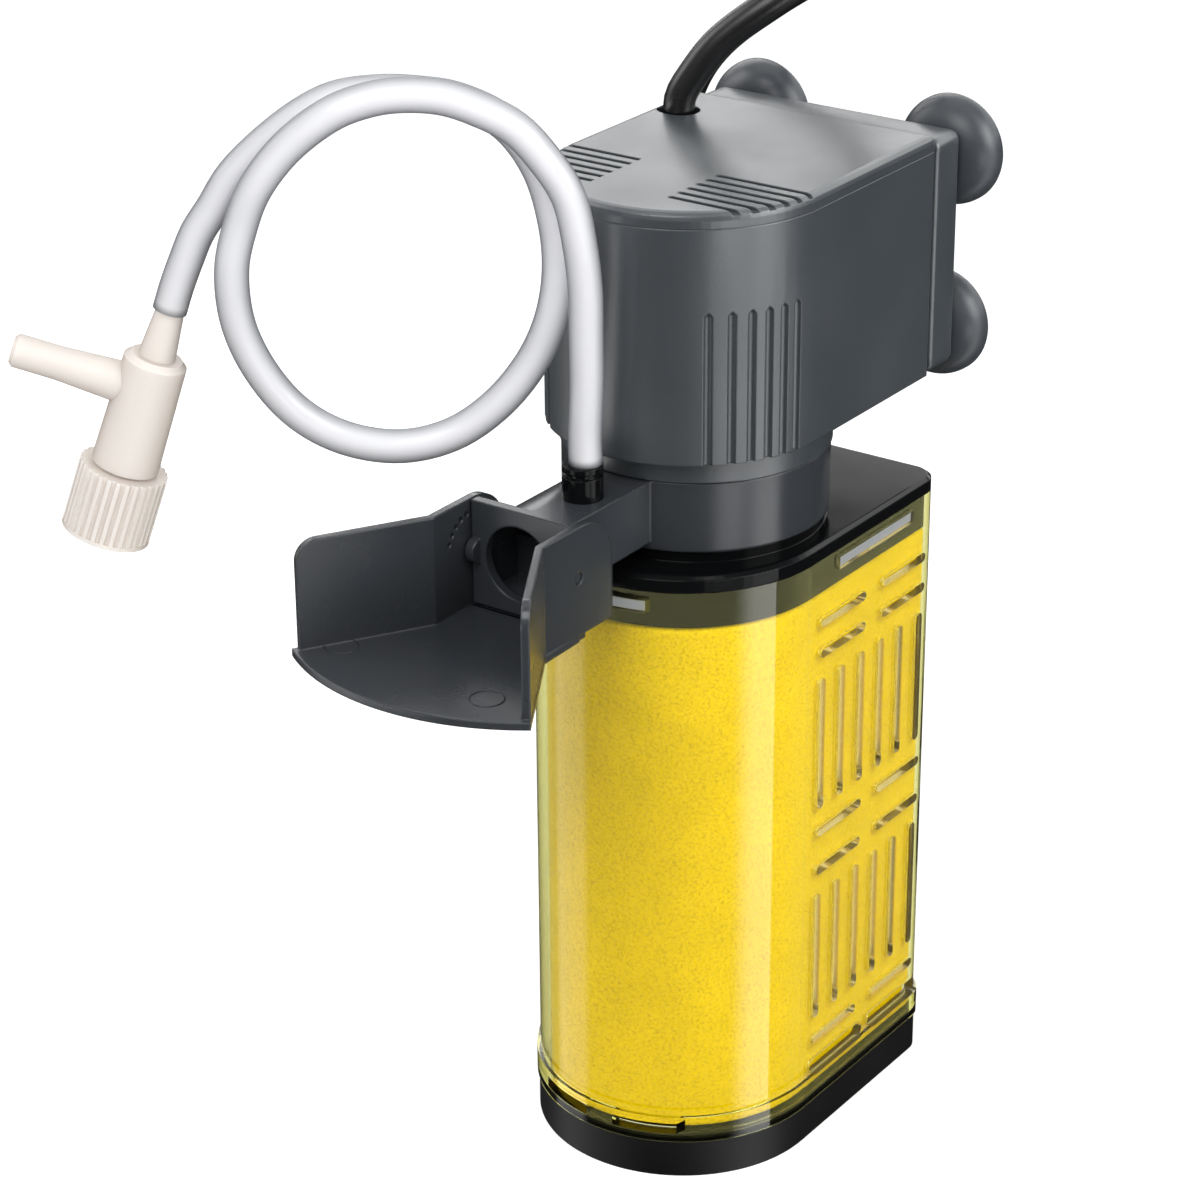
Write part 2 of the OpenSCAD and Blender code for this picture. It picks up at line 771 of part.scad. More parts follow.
// The floor: a wedge between the flared walls, with a bowed front edge
module deflector_floor() {
    reach = -floor_front + ear_bend + 1;
    spread = reach * tan(flare);
    left = ear_left - 0.2;
    right = ear_right + defl_wall + 0.2;
    middle = (left + right) / 2;
    translate([0, 0, ear_z + 0.2 - floor_t]) linear_extrude(floor_t) intersection() {
        polygon([
            [left + 0.2, pivot_y], [right - 0.2, pivot_y], [right, ear_bend],
            [right + spread, ear_bend - reach], [left - spread, ear_bend - reach], [left, ear_bend]
        ]);
        translate([middle, floor_front + floor_front_r]) circle(r = floor_front_r, $fn = 128);
    }
}

module flow_deflector() {
    color(CHARCOAL) difference() {
        union() {
            ear(ear_left);
            ear(ear_right);
            flared_wall(ear_left, -1);
            flared_wall(ear_right, 1);
            deflector_floor();
        }
        // Pivot holes
        for (x = [ear_left - cut, ear_right - cut])
            translate([x, pivot_y, pivot_z])
                rotate([0, 90, 0]) cylinder(r = pivot_r + run_gap, h = defl_wall + 2 * cut, $fn = 48);
        // Detent holes in the left ear
        for (i = [0:detent_holes - 1])
            translate([ear_left - cut, 0, 0]) at_detent(i)
                rotate([0, 90, 0]) cylinder(r = dimple_r, h = defl_wall + 2 * cut, $fn = 24);
    }
}

// ---------------------------------------------------------------- pump head

module neck_ring() {
    color(CHARCOAL) difference() {
        union() {
            translate([0, 0, neck_z]) cylinder(r = neck_r, h = neck_h);
            translate([0, 0, plate_z]) cylinder(r = neck_spigot_r, h = neck_z - plate_z + cut);
        }
        translate([0, 0, plate_z + chamber_plate]) cylinder(r = neck_bore, h = neck_h + collar_h);
        translate([0, 0, plate_z - cut]) cylinder(r = magnet_r + 1, h = chamber_plate + 2 * cut);
        seal_groove(neck_spigot_r, neck_spigot_r - seal_r * 2 + 0.15, neck_seal_z());
    }
}

function neck_seal_z() = plate_z + 2.2;

module neck_seal() {
    color(BLACK) seal_ring(cavity_r - seal_r - run_gap, neck_seal_z());
}

module motor_housing() {
    color(CHARCOAL) difference() {
        head_slab(head_z, head_h, 0);
        // Inside, round the rotor well
        difference() {
            head_slab(head_z + housing_floor, head_h, head_wall);
            translate([0, 0, head_z]) cylinder(r = well_r + well_wall, h = well_end - head_z);
        }
        // Rotor well and the socket of the upper bush
        translate([0, 0, head_z - cut]) cylinder(r = well_r, h = well_top - head_z + cut);
        translate([0, 0, well_top - cut]) cylinder(r = bush_r + run_gap, h = socket_h + cut);
        // Upright grooves on both cheeks
        for (side = [-1, 1], i = [0:rib_count - 1]) cheek_groove(side, i);
    }
}

// An upright groove in the round front, at its own distance forward, running out at its top
module cheek_groove(side, index) {
    y = rib_groove_y + index * rib_groove_pitch;
    x = sqrt(head_hw ^ 2 - (y + head_front) ^ 2);
    translate([side * x, y, head_z - cut]) {
        cylinder(r = rib_groove_r, h = rib_groove_h + cut, $fn = 24);
        translate([0, 0, rib_groove_h + cut])
            cylinder(r1 = rib_groove_r, r2 = 0.1, h = rib_groove_r, $fn = 24);
    }
}

module top_cover() {
    color(CHARCOAL) difference() {
        cover_plate();
        // Oval cord hole
        translate([hole_x, hole_y, head_top - cut]) {
            for (side = [-1, 1])
                translate([side * (hole_hw - hole_hl), 0, 0])
                    cylinder(r = hole_hl, h = cover_h + 2 * cut, $fn = 48);
            translate([-(hole_hw - hole_hl), -hole_hl, 0])
                cube([2 * (hole_hw - hole_hl), 2 * hole_hl, cover_h + 2 * cut]);
        }
        // Level grooves, running out at both sides
        for (i = [0:rib_count - 1]) translate([0, top_groove_y + i * top_groove_pitch, 0]) {
            top_groove(top_groove_right, head_hw + cut);
            top_groove(-head_hw - cut, top_groove_left);
            translate([top_groove_right, 0, head_top - cut])
                cylinder(r = 0.5, h = cover_h + 2 * cut, $fn = 24);
        }
    }
}

// The cover, its upper edge rounded
module cover_plate() {
    round_r = cover_h / 2;
    hull() {
        head_slab(head_top, cover_h - round_r, 0);
        for (a = [30, 60, 90])
            head_slab(cover_top - round_r * (1 - sin(a)) - 0.05, 0.05, round_r * (1 - cos(a)));
    }
}

module top_groove(from, to) {
    translate([from, -top_groove_w / 2, cover_top - top_groove_d])
        cube([to - from, top_groove_w, top_groove_d + cut]);
}

module back_plate() {
    h = cover_top - head_z;
    color(CHARCOAL) difference() {
        union() {
            difference() {
                rounded_tray();
                // Hollow towards the housing
                translate([-head_hw + tray_wall, plate_front - cut, head_z + tray_wall])
                    cube([2 * (head_hw - tray_wall), plate_d - skin + cut, h - 2 * tray_wall]);
            }
            // Two rails that stand on the housing's rear face
            for (x = [-8, 8])
                translate([x - 1, head_rear, head_z + tray_wall - 0.1])
                    cube([2, plate_rear - head_rear - 1, head_top - head_z - 2 * tray_wall]);
        }
        for (x = [-cup_x, cup_x], z = cup_z)
            translate([x, plate_rear - skin - cut, z])
                rotate([-90, 0, 0]) cylinder(r = stem_hole_r, h = skin + 2 * cut, $fn = 48);
    }
}

// The plate's outside, with its rear edges rounded
module rounded_tray() {
    hull() {
        translate([-head_hw, plate_front, head_z]) cube([2 * head_hw, 0.5, cover_top - head_z]);
        for (side = [-1, 1])
            translate([side * (head_hw - plate_round), plate_rear - plate_round, 0]) {
                translate([0, 0, head_z]) cylinder(r = plate_round, h = 1, $fn = 32);
                translate([0, 0, cover_top - plate_round]) sphere(r = plate_round, $fn = 32);
            }
    }
}

// A suction cup: a stem with a barbed head in the plate's hole, and a bell open to the rear
module suction_cup(x, z) {
    outer_steps = 8;
    bell = [
        for (i = [0:outer_steps]) let (a = 90 * i / outer_steps)
            [4 + (cup_r - 4) * sin(a), 1 + (cup_d - 1.6) * (1 - cos(a))]
    ];
    hollow = [
        for (i = [0:outer_steps]) let (a = 90 - 90 * i / outer_steps)
            [(cup_r - 1) * sin(a), 3.4 + (cup_d - 3.4) * (1 - cos(a))]
    ];
    stem = [
        [0, -skin - 2], [2, -skin - 2], [stem_head_r, -skin - 0.6], [stem_head_r, -skin - 0.1],
        [cup_stem_r, -skin - 0.1], [cup_stem_r, 0.1], [4, 0.1]
    ];
    color(RUBBER) translate([x, plate_rear, z]) rotate([-90, 0, 0])
        rotate_extrude() polygon(concat(stem, bell, [[cup_r, cup_d]], hollow));
}

module cup_top_left() { suction_cup(-cup_x, cup_z[0]); }
module cup_top_right() { suction_cup(cup_x, cup_z[0]); }
module cup_bottom_left() { suction_cup(-cup_x, cup_z[1]); }
module cup_bottom_right() { suction_cup(cup_x, cup_z[1]); }

// ---------------------------------------------------------------- motor

// A U core: two poles round the rotor well, legs and a yoke behind
module stator_core() {
    color(STEEL) translate([0, 0, core_z]) linear_extrude(core_h) difference() {
        translate([-core_hw, core_front]) square([2 * core_hw, yoke_y[1] - core_front]);
        circle(r = pole_r);
        translate([-window_hw, pole_r + 2.3]) square([2 * window_hw, yoke_y[0] - pole_r - 2.3]);
        translate([-slit / 2, core_front - cut]) square([slit, pole_r + 3 - core_front + cut]);
    }
}

module coil_bobbin() {
    hw = window_hw - 0.2;
    gap = 0.2;
    inner_y = yoke_y[0] - gap;
    inner_d = yoke_y[1] - yoke_y[0] + 2 * gap;
    low = core_z - gap;
    inner_h = core_h + 2 * gap;
    color([0.9, 0.9, 0.86]) difference() {
        union() {
            translate([-hw, inner_y - bobbin_t, low - bobbin_t])
                cube([2 * hw, inner_d + 2 * bobbin_t, inner_h + 2 * bobbin_t]);
            for (x = [-hw, hw - bobbin_t])
                translate([x, bobbin_y[0], core_z - bobbin_side])
                    cube([bobbin_t, bobbin_y[1] - bobbin_y[0], core_h + 2 * bobbin_side]);
        }
        translate([-hw - cut, inner_y, low]) cube([2 * (hw + cut), inner_d, inner_h]);
    }
}

// Winding: round-cornered turns between the bobbin's flanges
module coil_winding() {
    hw = window_hw - 0.2 - bobbin_t - 0.1;
    gap = 0.2 + bobbin_t + 0.1;
    r = 2.5;
    y = [bobbin_y[0] + 0.8, bobbin_y[1] - 0.8];
    z = [core_z - bobbin_side + 0.8, core_z + core_h + bobbin_side - 0.8];
    color(COPPER) translate([-hw, 0, 0]) rotate([90, 0, 90]) linear_extrude(2 * hw) difference() {
        union() {
            translate([y[0] + r, z[0]]) square([y[1] - y[0] - 2 * r, z[1] - z[0]]);
            translate([y[0], z[0] + r]) square([y[1] - y[0], z[1] - z[0] - 2 * r]);
            for (cy = [y[0] + r, y[1] - r], cz = [z[0] + r, z[1] - r])
                translate([cy, cz]) circle(r = r, $fn = 32);
        }
        translate([yoke_y[0] - gap, core_z - gap])
            square([yoke_y[1] - yoke_y[0] + 2 * gap, core_h + 2 * gap]);
    }
}

module potting_resin() {
    color([0.12, 0.12, 0.14]) difference() {
        head_slab(resin_z, resin_top - resin_z, head_wall + 0.1);
        translate([0, 0, resin_z - cut])
            cylinder(r = well_r + well_wall + 0.1, h = well_end + 0.2 - resin_z + cut);
    }
}

// The cord's seal: it stands on the resin and ends in the cover's hole
module cord_gland() {
    color(BLACK) translate([cord_x, cord_y, 0]) difference() {
        translate([0, 0, resin_top]) cylinder(r = cord_r + 0.2, h = gland_top - resin_top, $fn = 48);
        // Waist that the cover's hole sits round
        translate([0, 0, resin_top + 1.5]) difference() {
            cylinder(r = cord_r + cut, h = 1, $fn = 48);
            translate([0, 0, -cut]) cylinder(r = cord_r - 0.4, h = 1 + 2 * cut, $fn = 48);
        }
    }
}

module bush(z, h) {
    color(BLACK) translate([0, 0, z]) difference() {
        cylinder(r = bush_r, h = h, $fn = 48);
        translate([0, 0, -cut]) cylinder(r = shaft_r + 0.02, h = h + 2 * cut, $fn = 48);
    }
}

module shaft_bush_top() { bush(well_top - 0.4, socket_h + 0.3); }
module shaft_bush_bottom() { bush(collar_z + 0.2, blade_z - collar_z - 0.5); }

module impeller_shaft() {
    color([0.93, 0.93, 0.9]) translate([0, 0, shaft_z])
        cylinder(r = shaft_r, h = well_top + socket_h - 0.2 - shaft_z, $fn = 48);
}

module impeller() {
    stem_top = magnet_z + magnet_h;
    color([0.85, 0.86, 0.88]) difference() {
        union() {
            translate([0, 0, blade_z]) cylinder(r = hub_r, h = magnet_z - run_gap - blade_z);
            translate([0, 0, blade_z + blade_h]) cylinder(r = magnet_r - 0.2, h = disc_h);
            translate([0, 0, magnet_z - cut]) cylinder(r = stem_r, h = magnet_h + cut, $fn = 48);
            for (i = [0:blade_count - 1])
                rotate([0, 0, i * 360 / blade_count]) translate([hub_r - 1, -0.6, blade_z])
                    cube([blade_r - hub_r + 1, 1.2, blade_h]);
        }
        translate([0, 0, blade_z - cut])
            cylinder(r = shaft_r + run_gap, h = stem_top - blade_z + 2 * cut, $fn = 48);
    }
}

module rotor_magnet() {
    color([0.2, 0.2, 0.21]) translate([0, 0, magnet_z]) difference() {
        cylinder(r = magnet_r, h = magnet_h);
        translate([0, 0, -cut]) cylinder(r = stem_r + run_gap, h = magnet_h + 2 * cut, $fn = 48);
    }
}

// ---------------------------------------------------------------- air line

function in_hose_frame(q) =
    [nipple_x, nipple_y, nipple_top] + q[0] * hose_right + q[1] * hose_back + [0, 0, q[2]];

module air_hose() {
    color(HOSE) tube([for (q = hose_route) in_hose_frame(q)], hose_r, 12, hose_back);
}

// Children drawn with +Z along the valve's axis and the side nipple towards -X
module in_valve_frame() {
    translate(in_hose_frame(valve_at)) rotate([0, 0, hose_turn]) rotate([0, valve_tilt, 0]) children();
}

module valve_body() {
    color(FROST) in_valve_frame() difference() {
        union() {
            translate([0, 0, -valve_len])
                cylinder(r1 = valve_r, r2 = valve_r - valve_draft, h = valve_len - 1, $fn = 64);
            translate([0, 0, -1])
                cylinder(r1 = valve_r - valve_draft, r2 = valve_r - valve_draft - 1, h = 1, $fn = 64);
            // Hose nipple, tapered below the hose's end
            translate([0, 0, -cut]) cylinder(r = 3.3, h = cut, $fn = 48);
            cylinder(r1 = 3.3, r2 = 2.5, h = 8.6, $fn = 48);
            translate([0, 0, 8.6]) cylinder(r = 2.5, h = valve_tip - 9.6, $fn = 48);
            translate([0, 0, valve_tip - 1]) cylinder(r1 = 2.5, r2 = 1.8, h = 1, $fn = 48);
            // Side nipple: a bevelled tip, a straight stretch for a hose, and a cone to the body
            translate([-side_reach, 0, side_z]) rotate([0, 90, 0]) {
                cylinder(r1 = side_r - 0.7, r2 = side_r, h = 0.7, $fn = 48);
                translate([0, 0, 0.7]) cylinder(r = side_r, h = side_straight, $fn = 48);
                translate([0, 0, 0.7 + side_straight])
                    cylinder(r1 = side_r, r2 = side_root_r, h = side_reach - 0.7 - side_straight, $fn = 48);
            }
            // Neck that the knob screws on
            translate([0, 0, -valve_len - valve_neck_h])
                cylinder(r = valve_neck_r, h = valve_neck_h + cut, $fn = 48);
        }
        // Bores: up the nipple, out of the side, and the needle's chamber
        translate([0, 0, side_z]) cylinder(r = air_bore_r, h = valve_tip - side_z + cut, $fn = 32);
        translate([-side_reach - cut, 0, side_z])
            rotate([0, 90, 0]) cylinder(r = air_bore_r, h = side_reach + cut, $fn = 32);
        translate([0, 0, -valve_len - valve_neck_h - cut])
            cylinder(r = valve_bore_r, h = valve_bore_h + cut, $fn = 48);
    }
}

// Where the needle's chamber ends, and the end of the neck
function chamber_top() = -valve_len - valve_neck_h + valve_bore_h;

module valve_needle() {
    low = -valve_len - valve_neck_h - 0.6;
    color(FROST) in_valve_frame() difference() {
        union() {
            translate([0, 0, low]) cylinder(r = valve_bore_r - run_gap, h = 17, $fn = 48);
            translate([0, 0, low + 17 - cut])
                cylinder(r = needle_r, h = chamber_top() - low - 17 - 2.2 + cut, $fn = 48);
            translate([0, 0, chamber_top() - 2.2])
                cylinder(r1 = needle_r, r2 = air_bore_r - 0.3, h = 1.6, $fn = 48);
        }
        seal_groove_at(valve_bore_r, valve_bore_r - 1.05, low + 13);
    }
}

module seal_groove_at(outer, inner, z) {
    translate([0, 0, z - 0.7]) difference() {
        cylinder(r = outer + cut, h = 1.4, $fn = 48);
        translate([0, 0, -cut]) cylinder(r = inner, h = 1.4 + 2 * cut, $fn = 48);
    }
}

module valve_seal() {
    low = -valve_len - valve_neck_h - 0.6;
    color(BLACK) in_valve_frame() translate([0, 0, low + 13])
        rotate_extrude($fn = 48) translate([valve_bore_r - 0.5 - run_gap, 0]) circle(r = 0.45, $fn = 24);
}

module valve_knob() {
    low = -valve_len - knob_gap - knob_h;
    color(FROST) in_valve_frame() difference() {
        translate([0, 0, low]) cylinder(r = knob_r, h = knob_h, $fn = 64);
        translate([0, 0, low + knob_end]) cylinder(r = valve_neck_r + 0.1, h = knob_h, $fn = 64);
        for (i = [0:knob_flutes - 1])
            rotate([0, 0, i * 360 / knob_flutes]) translate([knob_r + 0.05, 0, low + 0.8])
                cylinder(r = flute_r, h = knob_h, $fn = 16);
    }
}

// ---------------------------------------------------------------- mains cord

module power_cord() {
    color(BLACK) tube(cord_route, cord_r, 10, [1, 0, 0]);
}

// Height gained by the time the coil has turned by an angle: one layer in the half turn at its middle
function coil_climb(a) =
    let (s = min(max((a - coil_angle / 2 + 90) / 180, 0), 1)) coil_layer * s * s * (3 - 2 * s);

// The spiral runs in and out again at a steady rate
function coil_radius(a) = coil_outer - coil_pitch * (coil_angle / 2 - abs(a - coil_angle / 2)) / 360;

function coil_point(a) = [
    coil_centre[0] + coil_radius(a) * cos(-90 - a),
    coil_centre[1] + coil_radius(a) * sin(-90 - a),
    cord_floor + coil_climb(a)
];

coil_steps = round(coil_turns * coil_rings);
coil_top_z = cord_floor + coil_layer;
coil_path = concat(
    [cord_route[len(cord_route) - 1]],
    [for (i = [0:coil_steps]) coil_point(coil_angle * i / coil_steps)],
    [
        [coil_exit[0], coil_exit[1] + coil_tail * 0.2, coil_top_z - 0.2],
        [coil_exit[0], coil_exit[1] + coil_tail * 0.4, coil_top_z - 0.9],
        [coil_exit[0], coil_exit[1] + coil_tail * 0.6, tail_z + 0.4],
        [coil_exit[0], coil_exit[1] + coil_tail * 0.8, tail_z],
        [coil_exit[0], plug_y, tail_z]
    ]
);

// Least clear distance between stretches of the coil at least half a turn apart
coil_gap = min([
    for (i = [0:len(coil_path) - 1], j = [i + coil_rings / 2:1:len(coil_path) - 1])
        norm(coil_path[i] - coil_path[j])
]) - 2 * cord_r;
echo(coil_gap = coil_gap);

module cord_coil() {
    color(BLACK) tube(coil_path, cord_r, 6, [0, 0, 1]);
}

// Flat plug, widest at its face, with a ribbed boot
module plug_body() {
    color(BLACK) translate([coil_exit[0], plug_y, plug_z]) rotate([-90, 0, 0]) {
        difference() {
            cylinder(r1 = cord_r + 0.4, r2 = boot_r, h = boot_l, $fn = 48);
            for (i = [1:3]) translate([0, 0, i * 3]) difference() {
                cylinder(r = boot_r + cut, h = 1, $fn = 48);
                translate([0, 0, -cut]) cylinder(r = cord_r, h = 1 + 2 * cut, $fn = 48);
            }
        }
        translate([0, 0, boot_l]) difference() {
            hull() {
                translate([-8, 0, -0.1]) cylinder(r = 4.5, h = 1, $fn = 32);
                translate([8, 0, -0.1]) cylinder(r = 4.5, h = 1, $fn = 32);
                for (x = [-1, 1], z = [12, plug_l - 1])
                    translate([x * (plug_w - plug_t) / 2, 0, z]) cylinder(d = plug_t, h = 1, $fn = 32);
            }
            for (x = [-1, 1]) translate([x * pin_pitch / 2, 0, plug_l - pin_root])
                cylinder(r = pin_r - 0.3 + 0.02, h = pin_root + cut, $fn = 48);
        }
    }
}

module plug_pins() {
    for (x = [-1, 1])
        color(STEEL) translate([coil_exit[0] + x * pin_pitch / 2, plug_y + boot_l + plug_l, plug_z])
            rotate([-90, 0, 0]) {
                translate([0, 0, 0.1 - pin_root]) cylinder(r = pin_r - 0.3, h = pin_root, $fn = 48);
                translate([0, 0, 0.05]) cylinder(r = pin_r, h = pin_l - 0.5, $fn = 48);
                translate([0, 0, pin_l - 0.45]) cylinder(r1 = pin_r, r2 = 1.4, h = 0.5, $fn = 48);
            }
}

base_cap();
canister_shell();
sponge();
canister_lid();
outlet_collar();
collar_seal();
air_nipple();
flow_deflector();
neck_ring();
neck_seal();
motor_housing();
top_cover();
back_plate();
cup_top_left();
cup_top_right();
cup_bottom_left();
cup_bottom_right();
stator_core();
coil_bobbin();
coil_winding();
potting_resin();
cord_gland();
shaft_bush_top();
shaft_bush_bottom();
impeller_shaft();
impeller();
rotor_magnet();
air_hose();
valve_body();
valve_needle();
valve_seal();
valve_knob();
power_cord();
cord_coil();
plug_body();
plug_pins();
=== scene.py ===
"""Looks of an internal aquarium filter: pump head, clear canister with its sponge, swivel outlet with a
tilting deflector, suction cups, air hose with its valve, and mains cord. Metres, in the frame of the
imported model: +Z up along the impeller axis, the outlet towards -Y, the suction cups towards +Y."""
import math
import bmesh
import bpy
import numpy as np
from mathutils import Matrix, Vector


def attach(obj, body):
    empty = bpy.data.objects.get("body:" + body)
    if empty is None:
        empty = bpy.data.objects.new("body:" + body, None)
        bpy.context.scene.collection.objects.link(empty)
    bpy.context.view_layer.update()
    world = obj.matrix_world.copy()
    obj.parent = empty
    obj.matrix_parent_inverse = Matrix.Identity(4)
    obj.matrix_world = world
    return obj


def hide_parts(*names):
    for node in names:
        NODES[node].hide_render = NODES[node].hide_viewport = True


MM = 0.001

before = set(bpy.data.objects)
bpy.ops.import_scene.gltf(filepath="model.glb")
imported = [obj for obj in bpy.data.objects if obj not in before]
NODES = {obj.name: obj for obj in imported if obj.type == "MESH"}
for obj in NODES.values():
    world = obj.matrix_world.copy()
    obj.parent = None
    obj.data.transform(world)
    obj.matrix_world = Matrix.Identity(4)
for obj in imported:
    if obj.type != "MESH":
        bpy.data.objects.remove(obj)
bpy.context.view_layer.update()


# ---------------------------------------------------------------- camera and stage

VIEW_AZIMUTH, VIEW_ELEVATION, VIEW_ROLL = 35.224, 24.545, -0.366   # degrees
CAMERA_AT = (330.04, -498.25, 379.84)                               # mm
SENSOR = 36.0
FOCAL = 105.43                                                      # mm, for the 36 mm sensor


def make_camera():
    """Camera whose right and up vectors follow from azimuth, elevation and roll."""
    a, e, r = (math.radians(x) for x in (VIEW_AZIMUTH, VIEW_ELEVATION, VIEW_ROLL))
    back = Vector((math.sin(a) * math.cos(e), -math.cos(a) * math.cos(e), math.sin(e)))
    level = Vector((math.cos(a), math.sin(a), 0))
    up = back.cross(level)
    right = level * math.cos(r) + up * math.sin(r)
    up = back.cross(right)
    data = bpy.data.cameras.new("camera")
    data.sensor_width, data.lens = SENSOR, FOCAL
    data.clip_start, data.clip_end = 0.02, 20
    camera = bpy.data.objects.new("camera", data)
    bpy.context.scene.collection.objects.link(camera)
    camera.matrix_world = Matrix([[right[i], up[i], back[i], CAMERA_AT[i] * MM] for i in range(3)]
                                 + [[0, 0, 0, 1]])
    bpy.context.scene.camera = camera


make_camera()


# ---------------------------------------------------------------- mesh and material helpers

def linear(hex_colour):
    """sRGB hex to linear RGBA."""
    c = [int(hex_colour[i:i + 2], 16) / 255 for i in (1, 3, 5)]
    return [x / 12.92 if x <= 0.04045 else ((x + 0.055) / 1.055) ** 2.4 for x in c] + [1.0]


def add(tree, kind, sockets=None, **settings):
    """Adds a node; each socket takes a value, or a link from another node's output."""
    made = tree.nodes.new(kind)
    for name, value in settings.items():
        setattr(made, name, value)
    for name, value in (sockets or {}).items():
        if isinstance(value, bpy.types.NodeSocket):
            tree.links.new(value, made.inputs[name])
        else:
            made.inputs[name].default_value = value
    return made


def new_material(name):
    """A material with nothing but its output node."""
    material = bpy.data.materials.new(name)
    material.use_nodes = True
    tree = material.node_tree
    tree.nodes.clear()
    return material, tree, add(tree, "ShaderNodeOutputMaterial")


def moulded(name, colour, roughness, grain_mm=0.35, grain_depth=0.15, spread=0.06, clouds_mm=30.0,
            specular=0.5, edge_mm=0.4):
    """Injection-moulded plastic or rubber: fine spark-eroded grain as bump, gloss that changes by spread
    from place to place, and edges that shade as rounded."""
    material, tree, output = new_material(name)
    place = add(tree, "ShaderNodeTexCoord").outputs["Object"]
    grain = add(tree, "ShaderNodeTexNoise", {"Vector": place, "Scale": 1 / (grain_mm * MM), "Detail": 3.0})
    clouds = add(tree, "ShaderNodeTexNoise", {"Vector": place, "Scale": 1 / (clouds_mm * MM), "Detail": 4.0})
    gloss = add(tree, "ShaderNodeMapRange", {"Value": clouds.outputs["Fac"], "From Min": 0.3, "From Max": 0.7,
                                             "To Min": roughness - spread, "To Max": roughness + spread})
    rounded = add(tree, "ShaderNodeBevel", {"Radius": edge_mm * MM}, samples=6)
    bump = add(tree, "ShaderNodeBump", {"Height": grain.outputs["Fac"], "Strength": grain_depth,
                                        "Distance": 0.1 * MM, "Normal": rounded.outputs["Normal"]})
    shader = add(tree, "ShaderNodeBsdfPrincipled", {
        "Base Color": linear(colour), "Roughness": gloss.outputs["Result"], "Normal": bump.outputs["Normal"],
        "IOR": 1.5, "Specular IOR Level": specular})
    tree.links.new(shader.outputs[0], output.inputs["Surface"])
    return material


def clear(name, colour, roughness, ior, milk=0.0, milk_colour="#ffffff", tint=None, density=0.0):
    """Clear or frosted plastic. Lamps pass through it, so that what lies inside is lit; milk is the share
    of light that the plastic scatters, and density the tint's depth, per metre of the way through it."""
    material, tree, output = new_material(name)
    sockets = {"Base Color": linear(colour), "Roughness": roughness, "IOR": ior, "Transmission Weight": 1.0}
    surface = add(tree, "ShaderNodeBsdfPrincipled", sockets).outputs[0]
    if milk:
        cloud = add(tree, "ShaderNodeBsdfPrincipled", {
            "Base Color": linear(milk_colour), "Roughness": max(roughness, 0.2), "IOR": ior,
            "Subsurface Weight": 1.0, "Subsurface Radius": (1.0, 1.0, 1.0), "Subsurface Scale": 2 * MM})
        surface = add(tree, "ShaderNodeMixShader", {0: milk, 1: surface, 2: cloud.outputs[0]}).outputs[0]
    path = add(tree, "ShaderNodeLightPath")
    window = add(tree, "ShaderNodeBsdfTransparent", {"Color": linear(colour)})
    mixed = add(tree, "ShaderNodeMixShader", {0: path.outputs["Is Shadow Ray"], 1: surface,
                                              2: window.outputs[0]})
    tree.links.new(mixed.outputs[0], output.inputs["Surface"])
    if tint:
        depth = add(tree, "ShaderNodeVolumeAbsorption", {"Color": linear(tint), "Density": density})
        tree.links.new(depth.outputs[0], output.inputs["Volume"])
    return material


def milky(name, colour, painted_edge_shade, roughness, ior, edge_share, edge_clear, gloss):
    """Milky plastic: it scatters light where it is looked at squarely, and towards the edges shows half clear
    plastic in a darker colour, painted shade that darkens its edges where the light's way through the wall is
    long. Lamps are dimmed by its wall."""
    material, tree, output = new_material(name)
    place = add(tree, "ShaderNodeTexCoord").outputs["Object"]
    waves = add(tree, "ShaderNodeTexNoise", {"Vector": place, "Scale": 1 / (1.5 * MM), "Detail": 3.0})
    bump = add(tree, "ShaderNodeBump", {"Height": waves.outputs["Fac"], "Strength": 0.1, "Distance": 0.1 * MM})
    milk = add(tree, "ShaderNodeBsdfPrincipled", {
        "Base Color": linear(colour), "Roughness": gloss, "IOR": ior, "Specular IOR Level": 0.3,
        "Subsurface Weight": 1.0, "Subsurface Radius": (1.0, 1.0, 1.0), "Subsurface Scale": 1.5 * MM,
        "Normal": bump.outputs["Normal"]})
    # The darker colour, mixed in towards the edges, is painted shade on the piece's edges
    wall = add(tree, "ShaderNodeBsdfPrincipled", {
        "Base Color": linear(painted_edge_shade), "Roughness": roughness, "IOR": ior, "Specular IOR Level": 0.1,
        "Transmission Weight": edge_clear, "Normal": bump.outputs["Normal"]})
    edge = add(tree, "ShaderNodeLayerWeight", {"Blend": edge_share})
    surface = add(tree, "ShaderNodeMixShader", {0: edge.outputs["Facing"], 1: milk.outputs[0],
                                                2: wall.outputs[0]})
    path = add(tree, "ShaderNodeLightPath")
    window = add(tree, "ShaderNodeBsdfTransparent", {"Color": linear("#c0c0c0")})
    mixed = add(tree, "ShaderNodeMixShader", {0: path.outputs["Is Shadow Ray"], 1: surface.outputs[0],
                                              2: window.outputs[0]})
    tree.links.new(mixed.outputs[0], output.inputs["Surface"])
    return material


def metal(name, colour, roughness, scratch_mm=0.0):
    """Bare metal; scratch_mm stretches its grain along X, as on rolled sheet."""
    material, tree, output = new_material(name)
    place = add(tree, "ShaderNodeTexCoord").outputs["Object"]
    stretch = add(tree, "ShaderNodeMapping", {"Vector": place,
                                              "Scale": (0.05 if scratch_mm else 1.0, 1.0, 1.0)})
    grain = add(tree, "ShaderNodeTexNoise", {"Vector": stretch.outputs[0],
                                             "Scale": 1 / ((scratch_mm or 0.5) * MM)})
    gloss = add(tree, "ShaderNodeMapRange", {"Value": grain.outputs["Fac"], "To Min": roughness - 0.08,
                                             "To Max": roughness + 0.08})
    shader = add(tree, "ShaderNodeBsdfPrincipled", {"Base Color": linear(colour), "Metallic": 1.0,
                                                    "Roughness": gloss.outputs["Result"]})
    tree.links.new(shader.outputs[0], output.inputs["Surface"])
    return material


